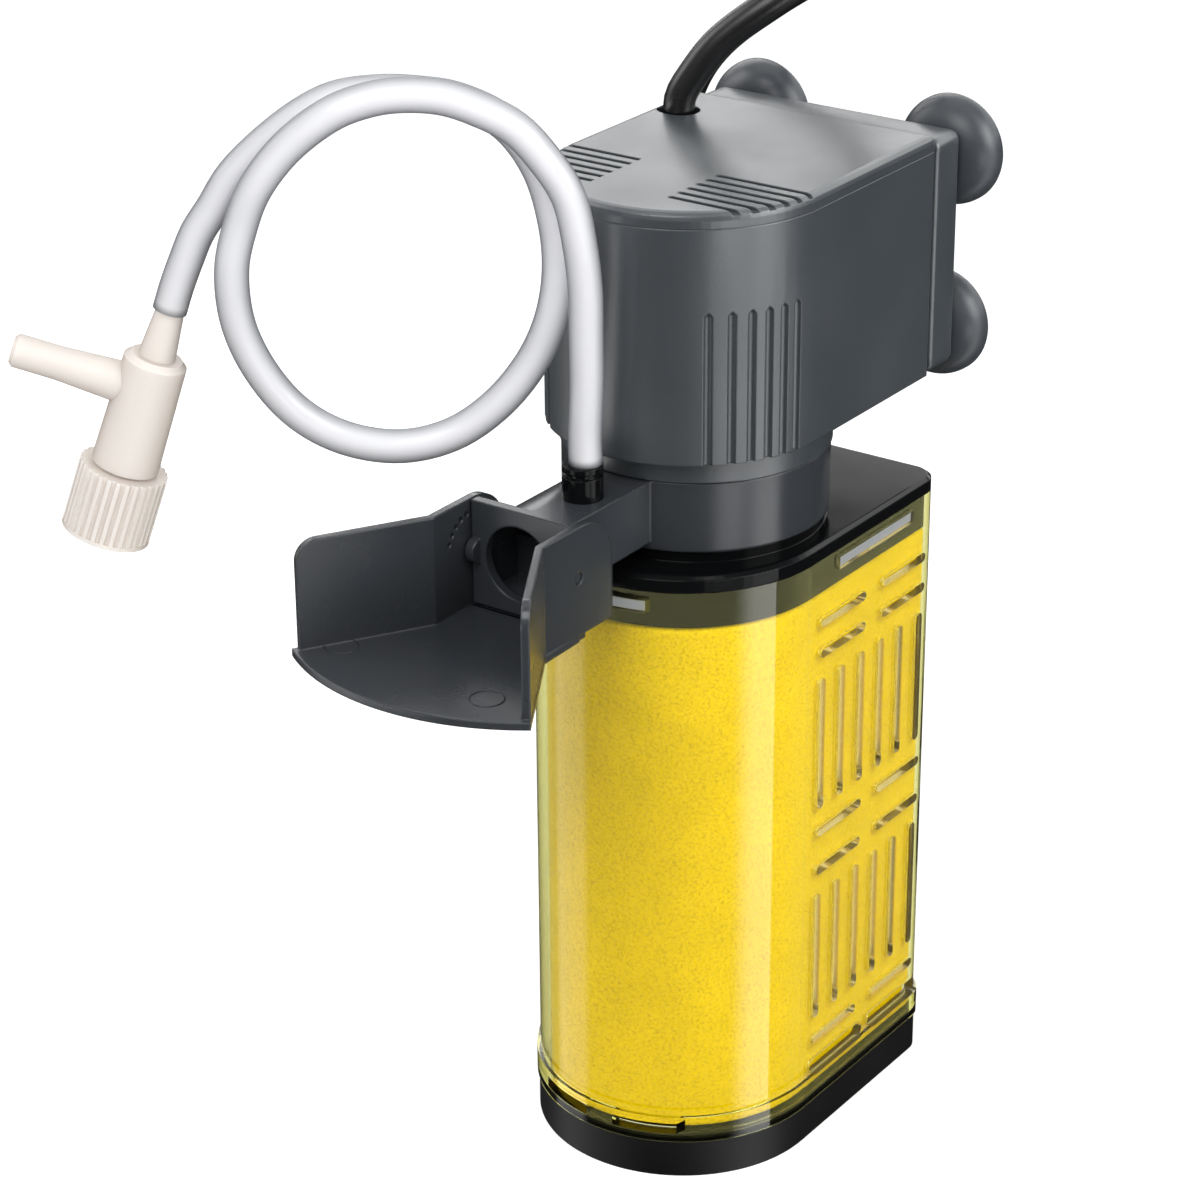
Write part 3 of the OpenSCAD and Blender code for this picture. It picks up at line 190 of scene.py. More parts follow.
def surface_mesh(name, points, wrap_u=False, wrap_v=False):
    """A piece from a grid of points: rows run along u, columns along v. Faces point outwards where u runs
    up or along and v turns counterclockwise about it. Open ends are closed by one face where v wraps."""
    rows, columns = points.shape[:2]
    u = np.arange(rows if wrap_u else rows - 1)[:, None]
    v = np.arange(columns if wrap_v else columns - 1)[None, :]
    near, far = (u % rows) * columns, ((u + 1) % rows) * columns
    left, right = v % columns, (v + 1) % columns
    quads = np.stack([near + left, near + right, far + right, far + left], -1).reshape(-1, 4)
    faces = quads.tolist()
    if wrap_v and not wrap_u:
        faces.append(list(range(columns))[::-1])
        faces.append(list(range((rows - 1) * columns, rows * columns)))
    mesh = bpy.data.meshes.new(name)
    mesh.from_pydata(points.reshape(-1, 3).tolist(), [], faces)
    mesh.polygons.foreach_set("use_smooth", np.ones(len(mesh.polygons), bool))
    piece = bpy.data.objects.new(name, mesh)
    bpy.context.scene.collection.objects.link(piece)
    return piece


def unit(vectors):
    """The vectors, each at length 1."""
    return vectors / np.linalg.norm(vectors, axis=-1, keepdims=True)


def distances(line):
    """How far along a line of points each of them lies."""
    return np.concatenate([[0], np.cumsum(np.linalg.norm(np.diff(line, axis=0), axis=1))])


def points_along(line, places):
    """The points of a line that lie at given distances along it."""
    along = distances(line)
    return np.stack([np.interp(places, along, line[:, i]) for i in range(line.shape[1])], 1)


def smooth_path(points, spacing):
    """A Catmull-Rom curve through the points, at even spacing."""
    p = np.asarray(points, float)
    p = np.vstack([2 * p[0] - p[1], p, 2 * p[-1] - p[-2]])
    t = np.linspace(0, 1, 24, endpoint=False)[:, None, None]
    a, b, c, d = p[:-3], p[1:-2], p[2:-1], p[3:]
    curve = 0.5 * (2 * b + (c - a) * t + (2 * a - 5 * b + 4 * c - d) * t ** 2
                   + (3 * b - a - 3 * c + d) * t ** 3)
    curve = np.vstack([curve.transpose(1, 0, 2).reshape(-1, 3), p[-2]])
    length = distances(curve)[-1]
    return points_along(curve, np.linspace(0, length, int(round(length / spacing)) + 1))


def carried_frames(path, start):
    """Tangent and two square vectors at each point of a path, carried along without twist."""
    tangent = unit(np.gradient(path, axis=0))
    side = np.zeros_like(path)
    v = np.asarray(start, float)
    for i, t in enumerate(tangent):
        v = v - (v @ t) * t
        v = v / np.linalg.norm(v)
        side[i] = v
    return tangent, side, np.cross(tangent, side)


def tube(name, path, radius, start, sides=24, bore=None):
    """A round tube: a circle of the radius carried along the path. With a bore, the grid runs out along
    the outside and back along the inside, so the wall is closed."""
    _, side, other = carried_frames(path, start)
    angle = np.linspace(0, 2 * np.pi, sides, endpoint=False)
    ring = side[:, None] * np.cos(angle)[None, :, None] + other[:, None] * np.sin(angle)[None, :, None]
    outside = path[:, None] + radius * ring
    if bore is None:
        return surface_mesh(name, outside, wrap_v=True)
    inside = path[::-1, None] + bore * ring[::-1]
    return surface_mesh(name, np.concatenate([outside, inside]), wrap_u=True, wrap_v=True)


def dress(piece, material, body, *replaced, slot=None):
    """Gives a new piece its material, body and the CAD nodes that it stands for; its slot is not used."""
    piece.data.materials.clear()
    piece.data.materials.append(material)
    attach(piece, body)
    if replaced:
        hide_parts(*replaced)
    return piece


# ---------------------------------------------------------------- materials

# Housing: ABS moulded with a satin finish, slate grey; it gives broad soft highlights
HOUSING_ABS = moulded("satin_slate_abs", "#3b4044", 0.34, grain_mm=0.3, grain_depth=0.2, specular=1.0)
# Outlet, duct and deflector: the same ABS with a smoother mould
OUTLET_ABS = moulded("smooth_slate_abs", "#34373b", 0.25, grain_mm=0.3, grain_depth=0.1, edge_mm=0.6)
# Lid: polished black ABS, which mirrors the collar above it
POLISHED_ABS = moulded("polished_black_abs", "#0c0d0e", 0.12, grain_mm=0.8, grain_depth=0.03, spread=0.03,
                       specular=0.12)
# Base: black ABS with a dull finish
DULL_ABS = moulded("dull_black_abs", "#0f0f10", 0.42, grain_mm=0.3, grain_depth=0.2, specular=0.25)
# Suction cups: soft grey PVC
CUP_PVC = moulded("soft_grey_pvc", "#3a3e43", 0.38, grain_mm=0.5, grain_depth=0.1, clouds_mm=8)
# Seals, gland and bushes: nitrile rubber
NITRILE = moulded("nitrile_rubber", "#101011", 0.6, grain_mm=0.4, grain_depth=0.3)
# Mains cord: black PVC sheath, satin
CORD_PVC = moulded("black_pvc_sheath", "#141415", 0.3, grain_mm=0.4, grain_depth=0.1, clouds_mm=15)
# Canister: clear polished styrene-acrylonitrile, a little yellow where its wall is seen edge on
CLEAR_SAN = clear("clear_san", "#fbfdfc", 0.02, 1.57, tint="#fefa80", density=250.0)
# Air hose: soft PVC, milky, with painted grey shade at its edges
HOSE_PVC = milky("milky_soft_pvc", "#ececf0", "#787b81", 0.4, 1.53, edge_share=0.70, edge_clear=0.3, gloss=0.2)
# Valve: natural polypropylene, frosted and warm white, with painted darker shade at its edges
NATURAL_PP = milky("natural_polypropylene", "#e9e3dd", "#c1b5ac", 0.4, 1.49, edge_share=0.5, edge_clear=0.25,
                   gloss=0.35)
# Slot walls of the canister: the same clear plastic, frosted by the mould, with a yellow that is a painted
# reflection of the sponge behind them
FROSTED_SAN_PAINTED_YELLOW = clear("frosted_san_painted_yellow", "#ecdc94", 0.25, 1.57, milk=0.08, milk_colour="#d8cca0")
# Lid's pads: light grey frosted plastic on the black lid, a painted highlight where the pads show in the
# canister's windows
PAD_PAINTED_HIGHLIGHT = clear("pad_painted_highlight", "#e4e6e8", 0.3, 1.57, milk=0.6, milk_colour="#c9cdd2")
# Shaft: white alumina ceramic
CERAMIC = moulded("alumina_ceramic", "#e4e2db", 0.2, grain_mm=0.2, grain_depth=0.05)
# Rotor: ferrite magnet in its coat, and the impeller of acetal
FERRITE = moulded("coated_ferrite", "#2c2c2e", 0.35)
ACETAL = moulded("moulded_acetal", "#c9ced4", 0.35)
# Motor: bobbin of natural nylon, potting epoxy, laminated core and enamelled copper wire
NYLON = moulded("natural_nylon", "#e2ddcb", 0.4)
EPOXY = moulded("potting_epoxy", "#0f0f12", 0.15, clouds_mm=12)
CORE_STEEL = metal("laminated_silicon_steel", "#8b8d8f", 0.4, scratch_mm=0.5)
COPPER_WIRE = metal("enamelled_copper_wire", "#b5673a", 0.3, scratch_mm=0.3)
# Plug's pins: nickel-plated brass
NICKEL = metal("nickel_plated_brass", "#cfcdc8", 0.2)

# The CAD nodes that are shown as they are
SHOWN_NODES = [
    (HOUSING_ABS, ["neck_ring", "motor_housing", "top_cover"]),
    (OUTLET_ABS, ["outlet_collar", "flow_deflector"]),
    (POLISHED_ABS, ["air_nipple"]),
    (NATURAL_PP, ["valve_body", "valve_needle", "valve_knob"]),
    (NITRILE, ["collar_seal", "neck_seal", "valve_seal", "cord_gland", "shaft_bush_top", "shaft_bush_bottom"]),
    (CORE_STEEL, ["stator_core"]),
    (NYLON, ["coil_bobbin"]),
    (EPOXY, ["potting_resin"]),
    (CERAMIC, ["impeller_shaft"]),
    (ACETAL, ["impeller"]),
    (FERRITE, ["rotor_magnet"]),
    (CORD_PVC, ["plug_body"]),
    (NICKEL, ["plug_pins"]),
]
for finish, node_names in SHOWN_NODES:
    for node_name in node_names:
        node_mesh = NODES[node_name].data
        node_mesh.materials.clear()
        node_mesh.materials.append(finish)


# ---------------------------------------------------------------- cords

# Air hose: how far its points lie to the right, to the back and up from the air nipple's top, in mm, as seen
# from the camera's side
NIPPLE_TOP = np.array([0.5, -36.5, 147.0])
HOSE_TURN = math.radians(35.2)
HOSE_RIGHT = np.array([math.cos(HOSE_TURN), math.sin(HOSE_TURN), 0])
HOSE_BACK = np.array([-math.sin(HOSE_TURN), math.cos(HOSE_TURN), 0])
HOSE_RADIUS, HOSE_BORE, HOSE_SPACING = 3.0, 1.95, 1.5
HOSE_ROUTE = np.array([
    [0.5, 0, 0], [0.4, 0, 5.5], [0.8, -0.5, 15], [0.8, -1, 24], [0.7, -1.5, 32.5], [-0.2, -2, 41],
    [-2, -2, 49.2], [-5.9, -2, 55.7], [-10.8, -2, 61.2], [-16.8, -2, 64.5], [-23, -2, 66.6],
    [-30, -2, 67], [-36, -2, 66], [-42, -2, 63.5], [-49, -1.5, 58], [-54.5, -1, 51],
    [-57.5, 0, 44], [-59.5, 0.5, 35.5], [-58.9, 1.5, 25.5], [-55.3, 2.5, 16.2], [-49.4, 3.5, 8.3],
    [-41.5, 4.5, 3.2], [-32, 5, 1.4], [-22.8, 5.5, 3.4], [-15, 5.5, 8.9], [-8.9, 5.5, 16.5],
    [-5.3, 5, 24.7], [-3.8, 5, 33.5], [-4.4, 5, 42.5], [-7.1, 5, 52.1], [-12.5, 5, 59.8],
    [-20.2, 5, 64], [-27.5, 5, 65.3], [-34, 5, 65.5], [-41, 5, 64.5], [-47, 5, 61.5],
    [-53.5, 5, 56.5], [-59, 5, 51], [-62.5, 5, 45.5], [-65.5, 5, 41], [-67.5, 5, 36.5],
    [-69.5, 5, 31.5], [-71, 5, 27]])
hose_points = NIPPLE_TOP + HOSE_ROUTE[:, :1] * HOSE_RIGHT + HOSE_ROUTE[:, 1:2] * HOSE_BACK \
    + HOSE_ROUTE[:, 2:] * [0, 0, 1]
hose_path = smooth_path(hose_points, HOSE_SPACING) * MM
hose = tube("air_hose_pvc", hose_path, HOSE_RADIUS * MM, HOSE_BACK, sides=32, bore=HOSE_BORE * MM)
dress(hose, HOSE_PVC, "outlet", "air_hose", slot="hose_pvc")

# Mains cord: the free stretch from the gland to the floor, then a flat coil in two layers, in mm
CORD_RADIUS, CORD_SPACING = 3.0, 1.6
HEAD_HALF_WIDTH, GLAND_TOP = 26.4, 190.8
CORD_X, CORD_Y, CORD_FLOOR, COIL_FRONT = -HEAD_HALF_WIDTH + 5.5, 25.4, CORD_RADIUS + 0.1, 67.5
CORD_ROUTE = [
    [CORD_X, CORD_Y, GLAND_TOP], [CORD_X, CORD_Y, GLAND_TOP + 3],
    [CORD_X + 1.4, CORD_Y + 1.1, GLAND_TOP + 6.7], [CORD_X + 6.2, CORD_Y + 4.3, GLAND_TOP + 14.2],
    [-6.4, 35.6, 212.5], [0.5, 44, 218], [2, 56, 220.5], [-2, COIL_FRONT, 219], [-10.5, 76, 214.5],
    [-21.5, 79, 207.5], [-31.5, 75.5, 200], [-40.5, 69.5, 191.5],
    [-45, 66, 183], [-47, 64.5, 172], [-46, 63.5, 160], [-43.5, 63, 147], [-39.5, 63, 132],
    [-35, 63, 116], [-30.5, 63, 98], [-26, 63, 78], [-23, 63, 58], [-21.5, 63.5, 42],
    [-21.5, 64, 29], [-24, 65, 18], [-30, 66, 9.5], [-38.5, 67, 4.5],
    [-48, COIL_FRONT, CORD_FLOOR], [-54, COIL_FRONT, CORD_FLOOR]]
COIL_CENTRE, COIL_TURNS, COIL_PITCH, COIL_STEPS = np.array([-60.0, 104.0]), 4.25, 6.8, 102
COIL_LAYER = 2 * CORD_RADIUS + 0.8
COIL_OUTER = COIL_CENTRE[1] - COIL_FRONT
PLUG_HALF, COIL_TAIL = 13.7 / 2, 35.0


def coil_points():
    """A spiral in and out again at a steady rate, which climbs one layer in the half turn at its middle."""
    a = np.linspace(0, 360 * COIL_TURNS, COIL_STEPS + 1)
    middle = 180 * COIL_TURNS
    s = np.clip((a - middle + 90) / 180, 0, 1)
    radius = COIL_OUTER - COIL_PITCH * (middle - np.abs(a - middle)) / 360
    turn = np.radians(-90 - a)
    flat = COIL_CENTRE + radius[:, None] * np.stack([np.cos(turn), np.sin(turn)], 1)
    return np.column_stack([flat, CORD_FLOOR + COIL_LAYER * s * s * (3 - 2 * s)])


# From the coil's upper layer down to the plug's middle
coil_exit = COIL_CENTRE - [COIL_OUTER, 0]
top_z = CORD_FLOOR + COIL_LAYER
TAIL = [[coil_exit[0], coil_exit[1] + COIL_TAIL * share, z] for share, z in
        [(0.2, top_z - 0.2), (0.4, top_z - 0.9), (0.6, PLUG_HALF + 0.4), (0.8, PLUG_HALF), (1, PLUG_HALF)]]
cord_path = smooth_path(np.vstack([CORD_ROUTE, coil_points()[1:], TAIL]), CORD_SPACING) * MM
cord = tube("mains_cord_sheath", cord_path, CORD_RADIUS * MM, (1, 0, 0), sides=20)
dress(cord, CORD_PVC, "pump", "power_cord", "cord_coil", slot="cord_pvc")


# ---------------------------------------------------------------- canister and lid

CAN_HALF, CAN_FRONT, CAN_REAR, CAN_CORNER, CAN_WALL, CAN_TOP = 27.8, 3.8, 39.4, 5.0, 1.8, 122.2
DEEPER = 2.8                  # the photographed canister reaches further back than its solid
LID_FROM, LID_TO = 4.1, 3.0   # thickness of the lid's plate, in the solid and here
LID_ROUND = 24.3              # what lies inside this radius of the lid stays round
SKIRT_HEIGHT = 7.4            # how far down the lid's pads reach
BASE_TOP, BASE_SKIN = 7.9, 1.0
BASE_OUT = 0.9                # how far the base's side stands further out than its solid
SLOTS_FROM = 12               # height above which the canister has its slots


def merged_copy(node_name, piece_name):
    """A copy of a CAD node's mesh with its loose triangles joined, which keeps the normals of its faces."""
    mesh = NODES[node_name].data.copy()
    mesh.transform(NODES[node_name].matrix_world)
    normals = np.zeros(3 * len(mesh.loops), np.float32)
    mesh.corner_normals.foreach_get("vector", normals)
    mesh.attributes.new("kept_normal", "FLOAT_VECTOR", "CORNER").data.foreach_set("vector", normals)
    joined = bmesh.new()
    joined.from_mesh(mesh)
    bmesh.ops.remove_doubles(joined, verts=joined.verts, dist=0.001 * MM)
    joined.to_mesh(mesh)
    joined.free()
    normals = np.zeros(3 * len(mesh.loops), np.float32)
    mesh.attributes["kept_normal"].data.foreach_get("vector", normals)
    mesh.attributes.remove(mesh.attributes["kept_normal"])
    mesh.normals_split_custom_set(normals.reshape(-1, 3).tolist())
    piece = bpy.data.objects.new(piece_name, mesh)
    bpy.context.scene.collection.objects.link(piece)
    return piece


def inside_outline(x, y):
    """How far points lie inside the canister's D outline, in mm, and the way out from there."""
    across, back = np.abs(x) - (CAN_HALF - CAN_CORNER), y - (CAN_REAR - CAN_CORNER)
    to_side, to_rear = CAN_HALF - np.abs(x), CAN_REAR - y
    depth = np.minimum(to_side, to_rear)
    way = np.where((to_side < to_rear)[:, None], np.stack([np.sign(x), 0 * x], 1),
                   np.stack([0 * x, 0 * x + 1], 1))
    corner, front = (across > 0) & (back > 0), y < -CAN_FRONT
    depth = np.where(corner, CAN_CORNER - np.hypot(across, back), depth)
    way = np.where(corner[:, None], np.stack([np.sign(x) * across, back], 1), way)
    depth = np.where(front, CAN_HALF - np.hypot(x, y + CAN_FRONT), depth)
    way = np.where(front[:, None], np.stack([x, y + CAN_FRONT], 1), way)
    return depth, way / np.maximum(np.linalg.norm(way, axis=1, keepdims=True), 1e-9)


def points_of(mesh):
    """A mesh's points, in mm."""
    flat = np.zeros(3 * len(mesh.vertices), np.float32)
    mesh.vertices.foreach_get("co", flat)
    return flat.reshape(-1, 3) / MM


def set_points(mesh, points):
    """Moves a mesh's points, given in mm."""
    mesh.vertices.foreach_set("co", (points * MM).astype(np.float32).ravel())
    mesh.update()


def deepened(points, keep_round=0.0):
    """Moves what lies to the rear of the axis back, evenly, up to DEEPER at the rear wall; what lies within
    keep_round of the axis stays."""
    moved = points.copy()
    part = np.clip(points[:, 1] / (CAN_REAR - CAN_CORNER), 0, 1)
    part = np.where(np.hypot(points[:, 0], points[:, 1]) < keep_round, 0, part)
    moved[:, 1] += DEEPER * part
    return moved


def second_material_between(piece, plain, frosted, nearest, furthest, low, high):
    """Gives the second material to the faces that lie between two depths of the outline, at some height."""
    mesh = piece.data
    mesh.materials.clear()
    for material in (plain, frosted):
        mesh.materials.append(material)
    centres = np.zeros(3 * len(mesh.polygons), np.float32)
    mesh.polygons.foreach_get("center", centres)
    x, y, z = centres.reshape(-1, 3).T / MM
    depth, _ = inside_outline(x, y)
    chosen = (z > low) & (z < high) & (depth > nearest) & (depth < furthest)
    mesh.polygons.foreach_set("material_index", chosen.astype(np.int32))


shell = merged_copy("canister_shell", "canister_clear_shell")
dress(shell, CLEAR_SAN, "canister", "canister_shell", slot="clear_plastic")
# The slot walls get the frosted plastic with its painted yellow reflection of the sponge
second_material_between(shell, CLEAR_SAN, FROSTED_SAN_PAINTED_YELLOW, 0.12, CAN_WALL - 0.12, SLOTS_FROM, CAN_TOP - 0.3)
set_points(shell.data, deepened(points_of(shell.data)))

lid = merged_copy("canister_lid", "canister_lid_with_pads")
dress(lid, POLISHED_ABS, "canister", "canister_lid", slot="black_plastic")
# The pads on the lid's skirt get the painted highlight
second_material_between(lid, POLISHED_ABS, PAD_PAINTED_HIGHLIGHT, 0.2, CAN_WALL - 0.2, CAN_TOP - SKIRT_HEIGHT, CAN_TOP - 0.3)
lid_points = deepened(points_of(lid.data), keep_round=LID_ROUND)
lid_z = lid_points[:, 2]
in_plate = (lid_z > CAN_TOP) & (lid_z < CAN_TOP + LID_FROM + 0.05)
lid_points[:, 2] = np.where(in_plate, CAN_TOP + (lid_z - CAN_TOP) * LID_TO / LID_FROM, lid_z)
set_points(lid.data, lid_points)

base = merged_copy("base_cap", "base_cap_flush")
dress(base, DULL_ABS, "canister", "base_cap", slot="black_plastic")
base_points = points_of(base.data)
depth, way_out = inside_outline(base_points[:, 0], base_points[:, 1])
at_side = (depth < BASE_SKIN) & (base_points[:, 2] < BASE_TOP)
base_points[:, :2] += np.where(at_side[:, None], BASE_OUT * way_out, 0)
set_points(base.data, deepened(base_points))


# ---------------------------------------------------------------- back plate and deflector

def rounded_rectangle(low, high, corner, count):
    """An outline with round corners, at even spacing, counterclockwise from its right side."""
    centres = [(high[0] - corner, high[1] - corner), (low[0] + corner, high[1] - corner),
               (low[0] + corner, low[1] + corner), (high[0] - corner, low[1] + corner)]
    arcs = [np.stack([cx + corner * np.cos(a), cy + corner * np.sin(a)], 1)
            for (cx, cy), a in zip(centres, [np.linspace(q, q + 1, 30) * np.pi / 2 for q in range(4)])]
    line = np.vstack(arcs + [arcs[0][:1]])
    return points_along(line, np.linspace(0, distances(line)[-1], count, endpoint=False))


def pad(name, low, high, corner, edge):
    """A flat pad along +Y between two corners, its far and near edges rounded."""
    columns = 160
    quarter = np.linspace(0, np.pi / 2, 6)
    inset = np.concatenate([edge * (1 - np.sin(quarter)), edge * (1 - np.cos(quarter))])
    along = np.concatenate([low[1] + edge * (1 - np.cos(quarter)), high[1] - edge + edge * np.sin(quarter)])
    rows = []
    for d, y in zip(inset, along):
        line = rounded_rectangle((low[2] + d, low[0] + d), (high[2] - d, high[0] - d), corner, columns)
        rows.append(np.column_stack([line[:, 1], np.full(columns, y), line[:, 0]]))
    return surface_mesh(name, np.array(rows) * MM, wrap_v=True)


# Back plate: deeper and squarer than its solid, and a little lower than the cover
HEAD_BOTTOM, COVER_TOP, PLATE_FRONT, PLATE_REAR = 145.4, 191.8, 39.0, 47.3
dress(pad("back_plate_deep", (-HEAD_HALF_WIDTH, PLATE_FRONT, HEAD_BOTTOM),
          (HEAD_HALF_WIDTH, PLATE_REAR, COVER_TOP - 1.3), 1.6, 0.9), HOUSING_ABS, "pump", "back_plate",
      slot="charcoal_plastic")

# Deflector: the floor's strip under the port, and two round ejector marks in the floor
FLOOR_TOP, FLOOR_THICKNESS = 120.5, 1.4
MARK_RADIUS, MARK_LINE = 3, 0.16
dress(pad("deflector_floor_strip", (-16.5, -49.0, FLOOR_TOP - FLOOR_THICKNESS), (7.8, -46.2, FLOOR_TOP),
          0.2, 0.15), OUTLET_ABS, "deflector", slot="charcoal_plastic")
for mark, (at_x, at_y) in enumerate([(9.8, -77.7), (-23.4, -75.2)]):
    turn = np.linspace(0, 2 * np.pi, 48, endpoint=False)
    section = np.linspace(0, 2 * np.pi, 8, endpoint=False)
    ring = [[[at_x + (MARK_RADIUS + MARK_LINE * math.cos(b)) * math.cos(a),
              at_y + (MARK_RADIUS + MARK_LINE * math.cos(b)) * math.sin(a),
              FLOOR_TOP + MARK_LINE * math.sin(b)] for b in section] for a in turn]
    dress(surface_mesh(f"ejector_mark_{mark}", np.array(ring)[:, ::-1] * MM, wrap_u=True, wrap_v=True),
          OUTLET_ABS, "deflector", slot="charcoal_plastic")


# ---------------------------------------------------------------- suction cups

CUP_RADIUS, CUP_DEPTH = 10.5, 7.5
# Each pair's distance to the side, and its height
TOP_CUPS, BOTTOM_CUPS = (21, COVER_TOP - 7.5), (19.4, HEAD_BOTTOM + 4.8)


def suction_cup(name, x, z):
    """A bell turned about +Y, with its stem through the back plate and its hollow to the rear. The profile's
    points are radius and distance behind the plate."""
    sweep = np.linspace(0, np.pi / 2, 22)[:, None]
    stem = np.array([[0.02, -4], [2, -4], [2.3, -3.85], [3, -2.7], [3, -2.2], [2.4, -2.1], [2.4, 0.1],
                     [3.4, 0.1], [3.85, 0.3]])
    bell = np.hstack([4 + (CUP_RADIUS - 4) * np.sin(sweep), 0.8 + (CUP_DEPTH - 1.6) * (1 - np.cos(sweep))])
    rim = np.array([[CUP_RADIUS, CUP_DEPTH - 0.35], [CUP_RADIUS - 0.12, CUP_DEPTH - 0.08],
                    [CUP_RADIUS - 0.4, CUP_DEPTH]])
    hollow = np.hstack([(CUP_RADIUS - 1) * np.sin(sweep), 3.4 + (CUP_DEPTH - 3.4) * (1 - np.cos(sweep))])[::-1]
    hollow[-1, 0] = 0.02
    profile = np.vstack([stem, bell, rim, hollow])
    turn = np.linspace(0, 2 * np.pi, 72, endpoint=False)
    back = np.broadcast_to(PLATE_REAR + profile[:, 1:], (len(profile), len(turn)))
    points = np.stack([x + profile[:, :1] * np.sin(turn), back, z + profile[:, :1] * np.cos(turn)], 2)
    cup = surface_mesh(name + "_soft", points * MM, wrap_v=True)
    dress(cup, CUP_PVC, "pump", name, slot="grey_rubber")


for level, (aside, cup_z) in [("top", TOP_CUPS), ("bottom", BOTTOM_CUPS)]:
    suction_cup(f"cup_{level}_left", -aside, cup_z)
    suction_cup(f"cup_{level}_right", aside, cup_z)


# ---------------------------------------------------------------- coil winding

def make_winding():
    """A ring of wire turns round the bobbin: its outside has one ridge for each turn of the top layer. Its
    outlines are corners in Y and Z."""
    half, wire, per_turn, columns = 9.2, 0.46, 6, 120
    turns = int(2 * half / wire)
    x = np.linspace(-half, half, turns * per_turn + 1)
    ridge = 0.5 * wire * (1 - np.abs(np.sin(np.arange(len(x)) * np.pi / per_turn)))
    outer = [rounded_rectangle((16.8 + d, 151.4 + d), (34.7 - d, 174.6 - d), 2.5, columns) for d in ridge]
    inner = rounded_rectangle((20.7, 153.7), (31.3, 172.3), 0.3, columns)
    rows = [np.column_stack([np.full(columns, at), line]) for at, line in zip(x, outer)]
    rows += [np.column_stack([np.full(columns, at), inner]) for at in (half, -half)]
    return surface_mesh("winding_turns", np.array(rows) * MM, wrap_u=True, wrap_v=True)


dress(make_winding(), COPPER_WIRE, "pump", "coil_winding", slot="winding_copper")


# ---------------------------------------------------------------- sponge

SPONGE_GAP, SPONGE_BOTTOM, SPONGE_TOP = 0.3, 9.9, 114.6


def d_outline(inset, count):
    """The canister's D outline drawn in by inset: a half circle to the front, straight sides, and two
    quarter circles at the rear, at even spacing, counterclockwise from the right end of the half circle."""
    half, rear, corner = CAN_HALF - inset, CAN_REAR - inset, max(CAN_CORNER - inset, 0.6)
    t = np.linspace(0, 1, 400)
    rear_arc = np.radians(90 * t)
    front_arc = np.radians(180 + 180 * t)
    parts = [
        np.stack([np.full(400, half), -CAN_FRONT + t * (rear - corner + CAN_FRONT)], 1),
        np.stack([half - corner + corner * np.cos(rear_arc), rear - corner + corner * np.sin(rear_arc)], 1),
        np.stack([half - corner - t * 2 * (half - corner), np.full(400, rear)], 1),
        np.stack([-half + corner - corner * np.sin(rear_arc), rear - corner + corner * np.cos(rear_arc)], 1),
        np.stack([np.full(400, -half), rear - corner - t * (rear - corner + CAN_FRONT)], 1),
        np.stack([half * np.cos(front_arc), -CAN_FRONT + half * np.sin(front_arc)], 1)]
    line = np.vstack(parts)
    return points_along(line, np.linspace(0, distances(line)[-1], count, endpoint=False))


def make_sponge():
    """A block with the canister's inner outline: each row of the grid is the outline, drawn in at the two
    ends along a quarter circle and then flat to the middle. Fine noise moves the sides by a pore's depth."""
    edge, flat_rows, side_rows, columns = 1.2, 14, 160, 420
    pore = 0.03
    base = deepened(d_outline(CAN_WALL + SPONGE_GAP + 4 * pore, columns))
    quarter = np.linspace(0, np.pi / 2, 6)
    heights = np.concatenate([SPONGE_BOTTOM + edge - edge * np.cos(quarter),
                              np.linspace(SPONGE_BOTTOM + edge, SPONGE_TOP - edge, side_rows)[1:-1],
                              SPONGE_TOP - edge + edge * np.sin(quarter)])
    inward = np.concatenate([edge * (1 - np.sin(quarter)), np.zeros(side_rows - 2),
                             edge * (1 - np.cos(quarter))])
    centre = np.array([0, 8.0])
    outward = unit(base - centre)
    sides = np.concatenate([base[None] - inward[:, None, None] * outward[None],
                            np.broadcast_to(heights[:, None, None], (len(heights), columns, 1))], 2)
    rng = np.random.default_rng(7)
    pores = rng.normal(0, pore, (len(heights), columns)).clip(-0.11, 0.11)
    sides[:, :, :2] += pores[:, :, None] * outward[None]
    shrink = np.linspace(1, 0.02, flat_rows)[1:, None, None]

    def cap(row):
        flat = row[None].repeat(flat_rows - 1, 0)
        flat[:, :, :2] = centre + (row[None, :, :2] - centre) * shrink
        return flat

    return surface_mesh("sponge_foam", np.concatenate([cap(sides[0])[::-1], sides, cap(sides[-1])]) * MM,
                        wrap_v=True)


